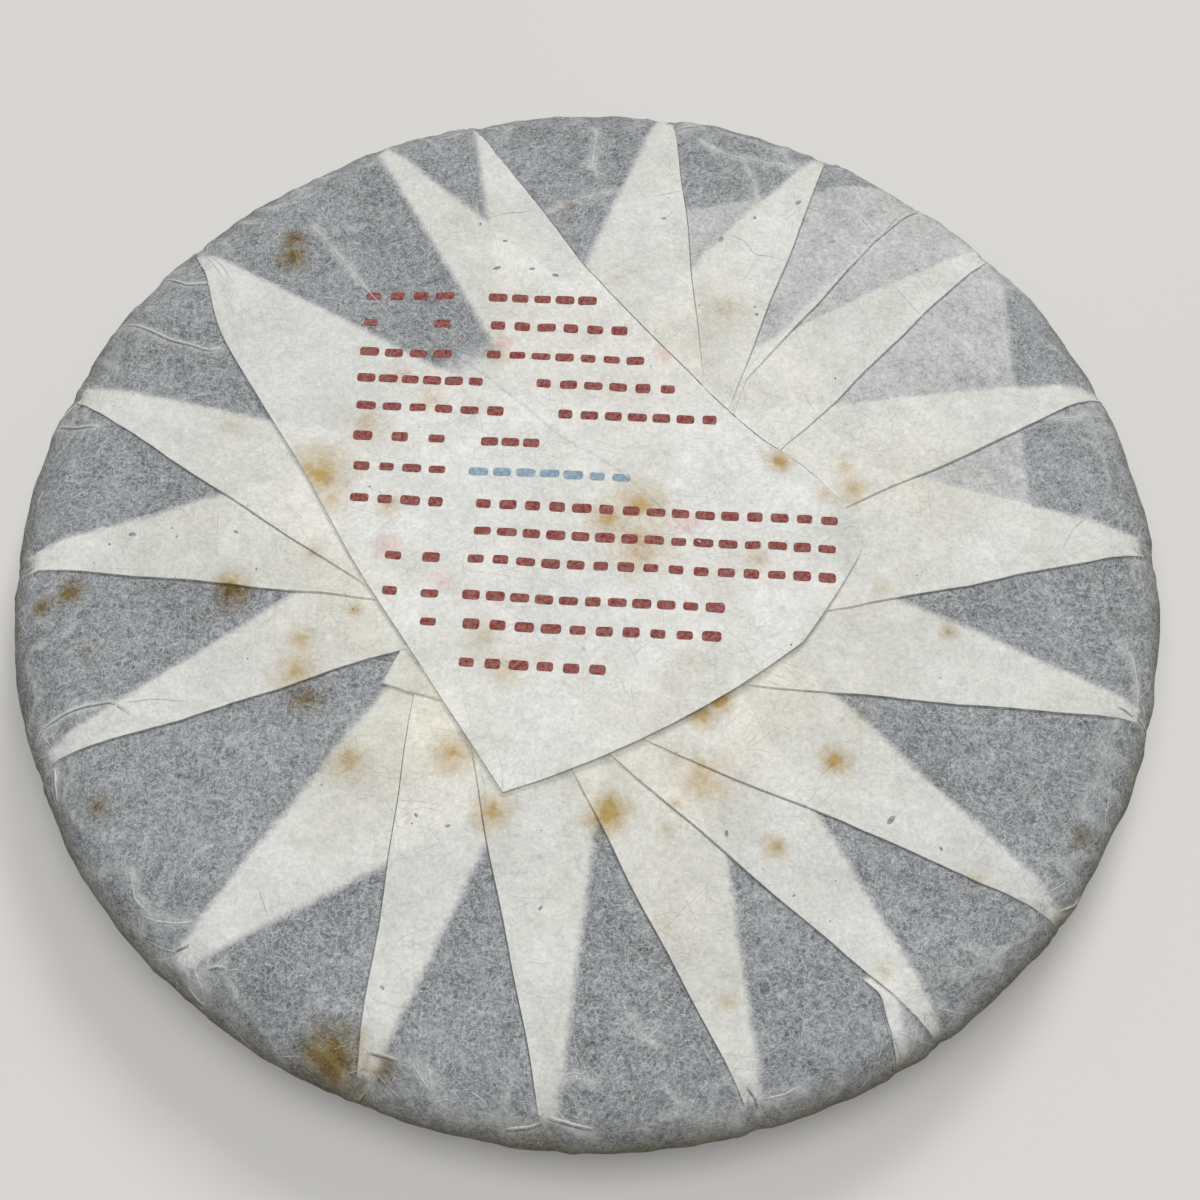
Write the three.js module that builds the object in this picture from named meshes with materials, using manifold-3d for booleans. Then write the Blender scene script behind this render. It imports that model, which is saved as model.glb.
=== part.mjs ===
import * as THREE from 'three';
import { mergeVertices } from 'three/addons/utils/BufferGeometryUtils.js';
import Module from 'manifold-3d';

// A round cake of pressed tea in its paper wrapper, lying on its domed face with the folded back up.
// Millimetres, +Z up. The origin is under the middle of the cake, on the table that its flat spot rests on.

// The pressed cake.
const RIM_RADIUS = 100;
const RIM_HEIGHT = 13;
const SHOULDER_RADIUS = 88;
const SHOULDER_HEIGHT = 21.4;
const MIDDLE_HEIGHT = 22.6;
const CROWN_POWER = 2.5;
const FACE_EDGE_RADIUS = 90;
const FACE_EDGE_HEIGHT = 7.5;
const FACE_POWER = 1.6;
const REST_RADIUS = 38;

// How far the outline departs from a circle: so many lobes, each swelling this much, one crest at this angle.
const RIM_WAVES = [
	{ lobes: 2, swell: 0.35, crest: -57 },
	{ lobes: 3, swell: 0.4, crest: 45 },
	{ lobes: 5, swell: 0.2, crest: 7 },
];
const WAVES_START_RADIUS = 60;

// The pleats, counter-clockwise. Each is a long paper wedge with its tip on the rim, at the angle `tip`.
// Its two straight sides run inwards and pass the cake's middle at the distances `from` and `to`, which are
// negative on the clockwise side. `fold` names the side that is a sharp fold on top; the others are hidden
// edges that show through the paper as soft steps.
const PLEATS = [
	{ tip: 250, from: -25, to: 8, fold: 'from' },
	{ tip: 267, from: -26, to: 8, fold: 'from' },
	{ tip: 285, from: -21, to: 16, fold: 'from' },
	{ tip: 303, from: -27, to: 9, fold: 'from' },
	{ tip: 319, from: -30, to: 9, fold: 'from' },
	{ tip: 341, from: -25, to: 13, fold: 'from' },
	{ tip: 360, from: -22, to: 27, fold: 'from' },
	{ tip: 379, from: -15, to: 22, fold: 'from' },
	{ tip: 400, from: -13, to: 20, fold: 'from' },
	{ tip: 410, from: -2, to: 2, fold: 'from' },
	{ tip: 422, from: -15, to: 24, fold: 'from' },
	{ tip: 441, from: -23, to: 21, fold: 'from' },
	{ tip: 463, from: -26, to: 9, fold: 'from' },
	{ tip: 475, from: -35, to: -3, fold: 'none' },
	{ tip: 500, from: -16, to: 36, fold: 'to' },
	{ tip: 521, from: -11, to: 29, fold: 'to' },
	{ tip: 542, from: -28, to: 15, fold: 'to' },
	{ tip: 564, from: -20, to: 10, fold: 'to' },
	{ tip: 589, from: -11, to: 36, fold: 'none' },
];
const PLEAT_RISE = 0.5;
const HIDDEN_EDGE_RISE = 0.3;
const FOLD_WIDTH = 0.3;
const HIDDEN_EDGE_WIDTH = 1.6;
const LEAST_GAP = 0.25;
const LEAST_FOLD_SPACING = 2;
const GORE_COLUMNS = 3;
const GORE_PUFF = 0.35;
const GORE_PUFF_SLOPE = 0.02;
const TIP_PINCH = 0.5;

// Rings of the back between its covered middle and the shoulder, and rings of the face.
const COVERED_RADIUS = 31;
const PLEATS_START_RADIUS = 38.5;
const BACK_RINGS = 9;
const SHOULDER_STEPS = 6;
const LOWER_RIM_STEPS = 4;
const FACE_RINGS = 4;

// The last corner of the paper, folded over the middle of the back. Its four corners are in plan. At the rim
// it is buried under the pleats. It comes up to its full rise, and lifts a little more at its free edge.
const FLAP = {
	rimLeft: [-66, 43],
	rimRight: [-10.5, 77],
	corner: [48, -1],
	tip: [-13.5, -46.5],
	leftBow: -1.5,
	rightBow: -3.3,
	edgeBow: -4.5,
	rise: 1,
	fullRiseAt: 0.35,
	buriedEnd: 0.8,
	clearAt: 0.2,
	edgeLift: 0.5,
	edgeLiftPower: 4,
	depth: 3,
	steps: 12,
};

const PAPER = { color: 0xd6d8d0, roughness: 0.85, metalness: 0 };

const radians = THREE.MathUtils.degToRad;
const { clamp, smoothstep } = THREE.MathUtils;

/** Height of the bare cake's back at a radius inside the shoulder. */
function backHeight(radius) {
	const fall = MIDDLE_HEIGHT - SHOULDER_HEIGHT;
	return MIDDLE_HEIGHT - fall * (Math.min(radius, SHOULDER_RADIUS) / SHOULDER_RADIUS) ** CROWN_POWER;
}

/** Height of the domed face at a radius between the resting spot and the rim. */
function faceHeight(radius) {
	return FACE_EDGE_HEIGHT * ((radius - REST_RADIUS) / (FACE_EDGE_RADIUS - REST_RADIUS)) ** FACE_POWER;
}

/** Places along the cake's section, from the covered middle of the back over the rim to the resting spot. */
function sectionRings() {
	const rings = [];
	const add = (radius, height, relief, lean) => rings.push({ radius, height, relief, lean });
	add(COVERED_RADIUS, backHeight(COVERED_RADIUS), 0, 0);
	for (let i = 0; i <= BACK_RINGS; i++) {
		const radius = THREE.MathUtils.lerp(PLEATS_START_RADIUS, SHOULDER_RADIUS, i / BACK_RINGS);
		add(radius, backHeight(radius), 1, 0);
	}
	for (let i = 1; i <= SHOULDER_STEPS; i++) {
		const turn = (Math.PI / 2) * (i / SHOULDER_STEPS);
		const radius = SHOULDER_RADIUS + (RIM_RADIUS - SHOULDER_RADIUS) * Math.sin(turn);
		const height = RIM_HEIGHT + (SHOULDER_HEIGHT - RIM_HEIGHT) * Math.cos(turn);
		add(radius, height, Math.cos(turn), turn);
	}
	for (let i = 1; i <= LOWER_RIM_STEPS; i++) {
		const turn = (Math.PI / 2) * (i / LOWER_RIM_STEPS);
		const radius = FACE_EDGE_RADIUS + (RIM_RADIUS - FACE_EDGE_RADIUS) * Math.cos(turn);
		add(radius, RIM_HEIGHT - (RIM_HEIGHT - FACE_EDGE_HEIGHT) * Math.sin(turn), 0, Math.PI / 2 + turn);
	}
	for (let i = 1; i <= FACE_RINGS; i++) {
		const radius = THREE.MathUtils.lerp(FACE_EDGE_RADIUS, REST_RADIUS, i / FACE_RINGS);
		add(radius, faceHeight(radius), 0, Math.PI);
	}
	return rings;
}

/** Angle at a radius of the straight crease that leaves the rim at tipAngle and passes the middle by miss. */
function creaseAngle(tipAngle, miss, radius) {
	return tipAngle + Math.asin(clamp(miss / radius, -1, 1)) - Math.asin(miss / RIM_RADIUS);
}

/**
 * Both sides of every pleat at a radius. A wedge under a neighbour's sharp fold stops at that fold, and two
 * sharp folds keep a little apart.
 */
function pleatSides(radius) {
	const sides = PLEATS.map(({ tip, from, to, fold }) => ({
		start: creaseAngle(radians(tip), from, radius),
		end: creaseAngle(radians(tip), to, radius),
		fold,
	}));
	const clearance = LEAST_FOLD_SPACING / radius;
	let floor = -Infinity;
	for (const side of sides) {
		const isFold = side.fold === 'to';
		side.start = Math.max(side.start, floor);
		side.end = Math.max(side.end, floor + (isFold ? clearance : 0));
		if (isFold) floor = side.end;
	}
	let ceiling = sides[0].start + 2 * Math.PI;
	for (const side of sides.toReversed()) {
		const isFold = side.fold === 'from';
		side.start = Math.min(side.start, ceiling - (isFold ? clearance : 0));
		side.end = Math.min(side.end, ceiling);
		if (isFold) ceiling = side.start;
	}
	return sides;
}

/** Spreads crowded columns over the space between two sharp folds, which keep their own angles. */
function spreadBetween(columns, from, to, leastStep) {
	const step = Math.min(leastStep, (to - from) / (columns.length + 1));
	let last = from;
	columns.forEach((column, i) => {
		column.angle = clamp(column.angle, last + step, to - step * (columns.length - i));
		last = column.angle;
	});
}

/** Spreads the crowded columns of a whole ring, one space between sharp folds at a time. */
function spreadRing(columns, leastStep) {
	const first = columns[0].angle;
	let from = first;
	let loose = [];
	for (const column of columns.slice(1)) {
		if (!column.sharp) {
			loose.push(column);
			continue;
		}
		spreadBetween(loose, from, column.angle, leastStep);
		from = column.angle;
		loose = [];
	}
	spreadBetween(loose, from, first + 2 * Math.PI, leastStep);
	return columns;
}

/** The columns of one ring, counter-clockwise: each has its angle, its rise over the cake and its pinch. */
function ringColumns(radius) {
	const sides = pleatSides(radius);
	const columns = [];
	const add = (angle, rise, pinch, sharp) => columns.push({ angle, rise, pinch, sharp });
	sides.forEach(({ start, end, fold }, i) => {
		const [sharpStart, sharpEnd] = [fold === 'from', fold === 'to'];
		const goreStart = end + (sharpEnd ? FOLD_WIDTH : HIDDEN_EDGE_WIDTH) / radius;
		add(start - (sharpStart ? FOLD_WIDTH : HIDDEN_EDGE_WIDTH) / radius, 0, 1, sharpStart);
		add(start, sharpStart ? PLEAT_RISE : HIDDEN_EDGE_RISE, 1, sharpStart);
		add(end, sharpEnd ? PLEAT_RISE : HIDDEN_EDGE_RISE, 1, sharpEnd);
		add(goreStart, 0, 1, sharpEnd);
		const next = i + 1 < sides.length ? sides[i + 1].start : sides[0].start + 2 * Math.PI;
		const gore = Math.max(next - FOLD_WIDTH / radius - goreStart, 0);
		const puff = Math.min(GORE_PUFF, gore * radius * GORE_PUFF_SLOPE);
		for (let k = 1; k <= GORE_COLUMNS; k++) {
			const part = k / (GORE_COLUMNS + 1);
			add(goreStart + gore * part, puff * Math.sin(Math.PI * part), 0, false);
		}
	});
	return spreadRing(columns, LEAST_GAP / radius);
}

/** How far the outline stands out of its circle at an angle. */
function outlineSwell(angle, radius) {
	const share = smoothstep(radius, WAVES_START_RADIUS, RIM_RADIUS);
	const wave = ({ lobes, swell, crest }) => swell * Math.cos(lobes * (angle - radians(crest)));
	return share * RIM_WAVES.reduce((sum, one) => sum + wave(one), 0);
}

/** The pleated cake as one closed mesh: rings of the section, each cut by the same number of columns. */
function pleatedCake() {
	const rings = sectionRings();
	const points = [];
	for (const { radius, height, relief, lean } of rings) {
		const onBack = lean < Math.PI / 2;
		const columnRadius = onBack ? Math.max(radius, PLEATS_START_RADIUS) : RIM_RADIUS;
		for (const { angle, rise, pinch } of ringColumns(columnRadius)) {
			const out = relief * rise - TIP_PINCH * pinch * Math.sin(Math.min(lean, Math.PI - lean)) ** 2;
			const reach = radius + outlineSwell(angle, radius) + out * Math.sin(lean);
			points.push(reach * Math.cos(angle), reach * Math.sin(angle), height + out * Math.cos(lean));
		}
	}
	const across = points.length / 3 / rings.length;
	const topCentre = points.push(0, 0, MIDDLE_HEIGHT) / 3 - 1;
	const restCentre = points.push(0, 0, 0) / 3 - 1;
	const faces = [];
	for (let column = 0; column < across; column++) {
		const next = (column + 1) % across;
		faces.push(topCentre, column, next);
		for (let ring = 0; ring + 1 < rings.length; ring++) {
			const [a, b] = [ring * across + column, ring * across + next];
			faces.push(a, a + across, b, b, a + across, b + across);
		}
		const last = (rings.length - 1) * across;
		faces.push(restCentre, last + next, last + column);
	}
	const geometry = new THREE.BufferGeometry();
	geometry.setAttribute('position', new THREE.Float32BufferAttribute(points, 3));
	geometry.setIndex(faces);
	return geometry;
}

/** A point on the side from a to b, bowed sideways by so much at its middle. */
function bowedSide(a, b, bow, share) {
	const start = new THREE.Vector2(...a);
	const along = new THREE.Vector2(...b).sub(start);
	const side = new THREE.Vector2(-along.y, along.x).normalize();
	return start.addScaledVector(along, share).addScaledVector(side, bow * 4 * share * (1 - share));
}

/** The plan of the flap: u runs from its left side to its right side, v from the rim to the free edge. */
function flapPlan(u, v) {
	const left = bowedSide(FLAP.rimLeft, FLAP.tip, FLAP.leftBow, v);
	const right = bowedSide(FLAP.rimRight, FLAP.corner, FLAP.rightBow, v);
	const along = right.clone().sub(left);
	const side = new THREE.Vector2(-along.y, along.x).normalize();
	return left.addScaledVector(along, u).addScaledVector(side, FLAP.edgeBow * 4 * u * (1 - u) * v);
}

/** How far the flap stands over the bare cake at v. */
function flapRise(v) {
	const risen = FLAP.rise * smoothstep(v, 0, FLAP.fullRiseAt) + FLAP.edgeLift * v ** FLAP.edgeLiftPower;
	return risen - FLAP.buriedEnd * (1 - smoothstep(v, 0, FLAP.clearAt));
}

/** The paper flap as a closed slab that lies on the back and is buried in it below. */
function paperFlap() {
	const { steps, depth } = FLAP;
	const row = steps + 1;
	const sheet = row * row;
	const points = [];
	for (const under of [0, depth]) {
		for (let j = 0; j <= steps; j++) {
			for (let i = 0; i <= steps; i++) {
				const [u, v] = [i / steps, j / steps];
				const plan = flapPlan(u, v);
				points.push(plan.x, plan.y, backHeight(plan.length()) + flapRise(v) - under);
			}
		}
	}
	const faces = [];
	const quad = (a, b, c, d) => faces.push(a, b, c, a, c, d);
	for (let j = 0; j < steps; j++) {
		for (let i = 0; i < steps; i++) {
			const a = j * row + i;
			quad(a, a + row, a + row + 1, a + 1);
			quad(sheet + a, sheet + a + 1, sheet + a + row + 1, sheet + a + row);
		}
		const [left, right] = [j * row, j * row + steps];
		quad(left, left + sheet, left + sheet + row, left + row);
		quad(right, right + row, right + row + sheet, right + sheet);
		const [near, far] = [j, steps * row + j];
		quad(near, near + 1, near + 1 + sheet, near + sheet);
		quad(far, far + sheet, far + 1 + sheet, far + 1);
	}
	const geometry = new THREE.BufferGeometry();
	geometry.setAttribute('position', new THREE.Float32BufferAttribute(points, 3));
	geometry.setIndex(faces);
	return geometry;
}

const wasm = await Module();
wasm.setup();

/** A closed geometry as a solid that can be joined to others. */
function toSolid(geometry) {
	const merged = mergeVertices(geometry);
	return new wasm.Manifold(new wasm.Mesh({
		numProp: 3,
		vertProperties: Float32Array.from(merged.getAttribute('position').array),
		triVerts: Uint32Array.from(merged.getIndex().array),
	}));
}

/** A solid as a geometry. */
function toGeometry(solid) {
	const mesh = solid.getMesh();
	const geometry = new THREE.BufferGeometry();
	geometry.setAttribute('position', new THREE.BufferAttribute(mesh.vertProperties, 3));
	geometry.setIndex(new THREE.BufferAttribute(mesh.triVerts, 1));
	geometry.computeVertexNormals();
	return geometry;
}

const wrappedCake = new THREE.Mesh(
	toGeometry(toSolid(pleatedCake()).add(toSolid(paperFlap()))),
	new THREE.MeshStandardMaterial(PAPER),
);
wrappedCake.name = 'wrapped_cake';
wrappedCake.geometry.computeBoundingBox();
const middle = wrappedCake.geometry.boundingBox.getCenter(new THREE.Vector3());
wrappedCake.position.set(-middle.x, -middle.y, 0);

const group = new THREE.Group();
group.add(wrappedCake);

export default group;
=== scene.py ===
from collections import namedtuple
import math
import random

import bpy
import numpy as np
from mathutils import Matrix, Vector
from mathutils.bvhtree import BVHTree


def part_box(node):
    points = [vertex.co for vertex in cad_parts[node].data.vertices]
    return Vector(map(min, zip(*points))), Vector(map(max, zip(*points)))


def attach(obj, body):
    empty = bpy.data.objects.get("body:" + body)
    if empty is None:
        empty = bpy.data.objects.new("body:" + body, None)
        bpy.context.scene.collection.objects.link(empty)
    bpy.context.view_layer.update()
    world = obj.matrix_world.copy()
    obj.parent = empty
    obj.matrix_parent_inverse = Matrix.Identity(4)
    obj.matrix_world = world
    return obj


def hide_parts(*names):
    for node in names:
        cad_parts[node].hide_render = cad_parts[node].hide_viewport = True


def srgb(red, green, blue):
    """A linear colour from 0-255 screen values."""
    def linear(value):
        value /= 255
        return value / 12.92 if value <= 0.04045 else ((value + 0.055) / 1.055) ** 2.4
    return (linear(red), linear(green), linear(blue), 1.0)


# A round cake of pressed tea in its folded paper wrapper, lying on its domed face with the folded back up.
# Sizes in the lists and shape functions are millimetres from the cake's middle, MM makes them metres, and
# angles are degrees. Every ring and column of the wrapper follows the pleats as they were folded.
MM = 0.001
# The height, in metres, from which rays look down on the finished pieces.
HIGH_ABOVE = 0.1

# The pressed cake.
RIM_RADIUS = 100.0
RIM_HEIGHT = 13.0
SHOULDER_RADIUS = 88.0
SHOULDER_HEIGHT = 21.4
MIDDLE_HEIGHT = 22.6
CROWN_POWER = 2.5
FACE_EDGE_RADIUS = 90.0
FACE_EDGE_HEIGHT = 7.5
FACE_POWER = 1.6
REST_RADIUS = 38.0
ROUGH_FACE_RADIUS = 80.0

# Lobes of the outline: how many, how far they swell, and the angle of one crest.
RIM_WAVES = [(2, 0.35, -57), (3, 0.4, 45), (5, 0.2, 7)]
WAVES_START_RADIUS = 60.0

# The pleats, counter-clockwise: tip on the rim, the distances at which the two sides pass the middle, and
# the side that is a sharp fold on top.
Pleat = namedtuple("Pleat", "tip start end fold")
PLEATS = [Pleat(*row) for row in (
    (250, -25, 8, "start"),
    (267, -26, 8, "start"),
    (285, -21, 16, "start"),
    (298.9, 20.6, 38, "start"),
    (303, -27, 9, "start"),
    (319, -30, 9, "start"),
    (341, -25, 13, "start"),
    (360, -22, 27, "start"),
    (379, -15, 22, "start"),
    (400, -13, 20, "start"),
    (410, -2, 2, "start"),
    (422, -15, 24, "start"),
    (441, -23, 21, "start"),
    (463, -26, 9, "start"),
    (475, -35, -3, "none"),
    (500, -16, 35.6, "end"),
    (521, -11, 29, "end"),
    (542, -28, 15, "end"),
    (564, -20, 10, "end"),
    (589, -11, 36, "none"),
)]
# The short pleat that leaves its neighbour's fold near the rim: its tip, and the radius where it starts.
SPUR_TIP, SPUR_RADIUS = 298.9, 86.5
# How far the folds wander from straight lines, over what length, and the share and pitch of a finer wander.
FOLD_WANDER = 0.16
FOLD_WANDER_LENGTH = 7.5
FINER_WANDER, FINER_PITCH = 0.6, 2.3
# Folds that bend near the rim, by tip: where they would meet it if straight, how far they turn, in degrees,
# and the radii between which they do.
FOLD_TIP_SHIFTS = {463: 0.4, 500: 1.0}
TIP_BENDS = {463: (1.3, 60.0, 90.0), 500: (-2.3, 76.0, 92.0)}
# The tips end bluntly on the shoulder, a few of them further out: the radius where they end, and half their
# width where they would meet the rim (less than nothing where the sides cross first).
TIP_END_RADIUS = 96.6
LONG_TIPS = {298.9: 98.8, 303: 98.9, 319: 98.7, 379: 98.4}
TIP_HALF_WIDTH = 0.7
NARROW_TIPS = {410: -0.5, 422: 0.3}
# Depths inside a wedge are cut off at this distance on both sides of its edge.
OUTSIDE = 3.0
# How far the paper rises at a fold and on each hidden layer, and how much of it is lost across the wedge.
FOLD_RISE = 0.42
LAYER_RISE = 0.06
MOST_RAISED_LAYERS = 2
WEDGE_FALL = 0.65
FOLD_WIDTH = 0.1
FOLD_SPACING = 1.2
DIVE_LENGTH = 1.0
HIDDEN_EDGE_WIDTH = 1.0
GORE_PUFF = 0.2
GORE_PUFF_SLOPE = 0.015

# The corner of the sheet that lies under the gores between two folds: an extra layer of paper.
SHEET_CORNER_FOLDS = (360, 441)
SHEET_CORNER_X = 77.0
SHEET_CORNER_Y = 71.0
SHEET_CORNER_SLOPE = 0.2
SHEET_CORNER_MIDDLE = 18.0

# Rings and columns of the wrapper's mesh. The columns crowd towards the folds, and share out the turn as
# the folds do at one radius.
COVERED_RADIUS = 24.0
FROZEN_RADIUS = 33.0
BACK_RINGS = 70
SHOULDER_RINGS = 20
LOWER_RIM_RINGS = 12
FACE_RINGS = 12
COLUMNS = 830
FEWEST_COLUMNS = 10
COLUMN_CROWDING = 0.6
SHARING_RADIUS = 75.0

# Unevenness of the leaf under the paper: wave length, height and seed.
LUMPS = [(17.0, 0.17, 11), (7.0, 0.07, 12), (2.8, 0.018, 13)]
# Each unevenness is a sum of so many waves, whose lengths are these shares of its own.
WAVE_COUNT, WAVE_LENGTHS = 14, (0.7, 1.4)
# Crumpled paper on the rim and, stronger, beside the tips: wave length, height and seed.
RIM_CRUMPLE = (13.0, 0.4, 21)
TIP_CRUMPLE = (7.0, 0.45, 23)
TIP_CRUMPLE_REACH = 9.0
RIM_SMOOTHING, RIM_SMOOTHING_POWER = 0.9, 6
RIDGE_WIDTH = 0.35
RIDGE_SINK = 0.45
# Leans over the rim, in radians, between which the crumples and the wrinkles come and go.
CRUMPLES_COME, CRUMPLES_GO = (0.05, 0.6), (2.1, 3.0)
WRINKLES_COME, WRINKLES_GO = (0.15, 0.9), (1.9, 2.8)
# Pinch and wrinkles at the tips: depth or height, and how far they reach to the sides.
TIP_PINCH, TIP_PINCH_REACH = 0.3, 2.0
TIP_WRINKLE, TIP_WRINKLE_REACH = 0.07, 5.0
TIP_WRINKLE_LENGTH = 3.1
TIP_WRINKLE_BEND, TIP_WRINKLE_PHASE = 0.35, 1.7

# The flap, which is the last corner of the paper. Its sides leave the rim along two folds, which they
# follow in to a radius, and then run to its tip and corner. A tuck crosses it.
FLAP_FOLDS = (463, 500)
FLAP_START_RADIUS = 86.0
FLAP_LEFT_FOLD_END, FLAP_RIGHT_FOLD_END = 50.0, 57.0
FLAP_FOLD_STEPS = 12
FLAP_LEFT_END = [(-39.2, -4.9), (-13.0, -46.2)]
FLAP_TUCK = [
    (-51.5, 67.5), (-45.7, 58.2), (-37.4, 47.7), (-23.1, 36.6), (-10.5, 25.9), (-4.9, 19.6),
    (3.8, 14.8), (12.2, 6.5), (17.8, 0.5), (33.5, -16.9),
]
FLAP_RIGHT_END = [(20.6, 29.9), (30.3, 18.9), (36.6, 14.8), (43.9, 6.6), (48.0, -0.4)]
FLAP_EDGE_BOW = 4.9
FLAP_OVERHANG = 0.25
FLAP_THICKNESS = 0.16
FLAP_BURIED = 0.35
FLAP_RISE = 0.16
FLAP_FLAT_RISE = 0.64
FLAP_LIFT, FLAP_LIFT_AT_SIDES, FLAP_LIFT_SKEW = 1.0, 0.3, 0.85
FLAP_SIDE_LIFT, FLAP_SIDE_STRIP = 0.25, 0.85
FLAP_CORNER_ROUND = 4.0
FLAP_CORNER_PULL, FLAP_CORNER_POWER = 0.42, 1.5
FLAP_CORNER_INSET, FLAP_CORNER_SHIFT = 3.2, (0.3, -1.0)
TUCK_RISE, TUCK_FALL = 0.22, 0.8
TUCK_HALF_GAP = 0.05
COVERED_FROM, COVERED_TO = -46.0, -34.0
COVER_LAYERS = 4.0
FLAP_ROWS = 150
FLAP_ROW_POWER = 0.95
FLAP_COLUMNS = 64
# Shares of the way from the rim to the free edge between which the flap bows, lies down, comes up on to the
# wrapper and out of it, lifts at its edge and at its sides, and between which the tuck comes and goes.
FLAP_BOWS = (0.55, 1.0)
FLAP_SETTLES = (0.05, 0.35)
FLAP_RISES, FLAP_COMES_OUT = (0.0, 0.18), (0.0, 0.08)
FLAP_LIFTS, FLAP_SIDE_LIFTS = (0.72, 1.0), (0.2, 0.6)
TUCK_COMES, TUCK_GOES = (0.1, 0.25), (0.72, 0.9)
# A polyline is softened on so many even places, by so many rounds.
SOFT_PLACES, SOFT_ROUNDS = 200, 60

# Brown stains, each with its place, radius and strength: on the back and on the flap.
BACK_STAINS = [
    (-55.5, 64.4, 2.4, 1.1), (-55.2, 60.4, 3.2, 1.0), (-92.5, -12.3, 1.9, 1.0), (-87.4, -9.7, 2.7, 1.0),
    (-60.0, -9.7, 3.4, 1.15), (-83.5, -20.4, 2.0, 0.4), (-78.0, -47.7, 2.4, 0.6),
    (-62.5, 23.1, 2.6, 0.3), (-47.5, -19.0, 2.6, 0.6), (-48.2, -25.0, 4.0, 0.7),
    (-46.1, -29.5, 3.0, 0.8), (-38.5, -40.5, 3.4, 0.6), (-21.6, -39.2, 3.6, 0.85),
    (-14.9, -49.4, 3.3, 0.8), (-38.9, -13.5, 1.5, 0.7), (-38.3, -87.9, 5.4, 1.2),
    (-30.2, -89.3, 2.6, 0.6), (18.7, -32.6, 2.8, 0.8), (22.1, -30.3, 2.4, 1.0), (19.0, -43.8, 5.4, 0.5),
    (14.6, -40.5, 2.6, 0.4), (3.5, -49.5, 3.8, 1.15), (40.3, -40.5, 2.6, 0.95), (29.9, -55.3, 2.2, 0.8),
    (14.3, -47.7, 1.4, 0.5), (12.8, -52.2, 1.8, 0.3), (21.6, -79.6, 2.0, 0.5), (12.3, -67.8, 1.6, 0.3),
    (45.7, -74.5, 1.8, 0.4), (79.3, -52.3, 2.2, 0.8), (61.1, -60.0, 1.8, 0.4), (60.5, -17.3, 1.8, 0.6),
    (44.9, -32.5, 2.6, 0.25), (24.5, 48.5, 4.6, 0.35), (33.6, 15.0, 2.6, 0.9), (44.9, 14.3, 2.2, 0.4),
    (46.2, 9.6, 3.0, 0.6), (49.9, -9.6, 2.0, 0.4), (-46.7, -2.7, 2.0, 0.4), (-3.9, 72.0, 2.0, 0.3),
]
FLAP_STAINS = [
    (-46.8, 12.9, 6.0, 0.9), (-44.0, 7.5, 3.4, 0.5), (-38.8, 22.8, 4.0, 0.4), (-34.6, 6.6, 2.6, 0.5),
    (-27.5, 27.6, 3.0, 0.4), (-16.3, 37.4, 2.2, 0.6), (8.8, 6.5, 4.6, 0.8), (9.1, -1.1, 6.0, 0.6),
    (4.0, 3.5, 4.0, 0.7), (-17.0, -18.8, 3.4, 0.4), (-13.0, -24.8, 3.6, 0.4), (-7.5, -22.0, 2.6, 0.25),
    (29.2, -4.3, 2.0, 0.5), (17.1, -23.5, 2.6, 0.25), (33.6, 15.0, 2.6, 0.9), (41.5, 8.5, 2.6, 0.4),
]
# No stain shows lower than this height. Heights below a stain's middle count by this share, so that it runs
# over the rim.
STAINS_END_HEIGHT = 9.0
STAIN_RUN = 0.7
# The paper yellows towards the middle, from one radius to another.
CREAM_FROM, CREAM_TO = 36.0, 78.0
# Crumbs of leaf caught in the paper, each with its place and radius, and how many smaller ones lie between.
SPECKS = [
    (-20.3, 67.9, 0.4), (-15.5, 63.6, 0.5), (-16.8, 56.9, 0.7), (-10.3, 56.9, 0.6), (-5.9, 55.2, 0.6),
    (25.0, 64.1, 0.8), (31.4, 69.1, 0.5), (39.9, 73.1, 0.7), (45.8, 64.0, 0.7), (30.6, 48.3, 0.4),
    (30.9, 46.7, 0.4), (44.5, 32.8, 0.35), (61.2, 57.7, 0.4), (14.3, 68.8, 0.6), (-78.2, 1.3, 0.8),
    (-81.9, -0.6, 0.45), (-60.2, 1.5, 0.5), (-70.4, 0.8, 0.3), (22.3, -52.8, 0.6), (48.5, -50.6, 0.8),
    (56.2, -55.1, 0.45), (60.5, -17.5, 0.35), (82.6, 19.8, 0.6), (81.0, 24.4, 0.45),
    (32.5, -63.0, 0.35), (-7.0, -65.0, 0.45), (-39.2, -13.5, 0.35), (-27.0, -49.8, 0.45),
    (-21.9, -51.7, 0.45), (-56.2, -22.4, 0.3), (20.5, 48.9, 0.3), (2.3, -72.8, 0.35),
    (-31.0, -77.3, 0.45), (44.3, -60.9, 0.35), (11.3, -80.1, 0.3),
]
SMALL_SPECKS = 70
CRUMB_SEED = 61
SMALL_SPECK_RADII = (0.14, 0.3)
SMALL_SPECKS_REACH, SMALL_SPECKS_SPREAD = 95.0, (0.02, 1)
SPECK_SHAPE = (1.0, 0.65, 0.16)
SPECK_STRETCH = (0.9, 1.3)
# Pale red smears where the ink of the print has run.
INK_SMEARS = [
    (-34.0, 33.0, 3.0, 0.3), (-34.5, -1.5, 3.4, 0.35), (-24.0, -8.0, 2.6, 0.2), (17.0, 3.0, 3.6, 0.35),
    (14.5, 38.0, 3.4, 0.3), (-15.0, 40.0, 3.0, 0.25),
]

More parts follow.
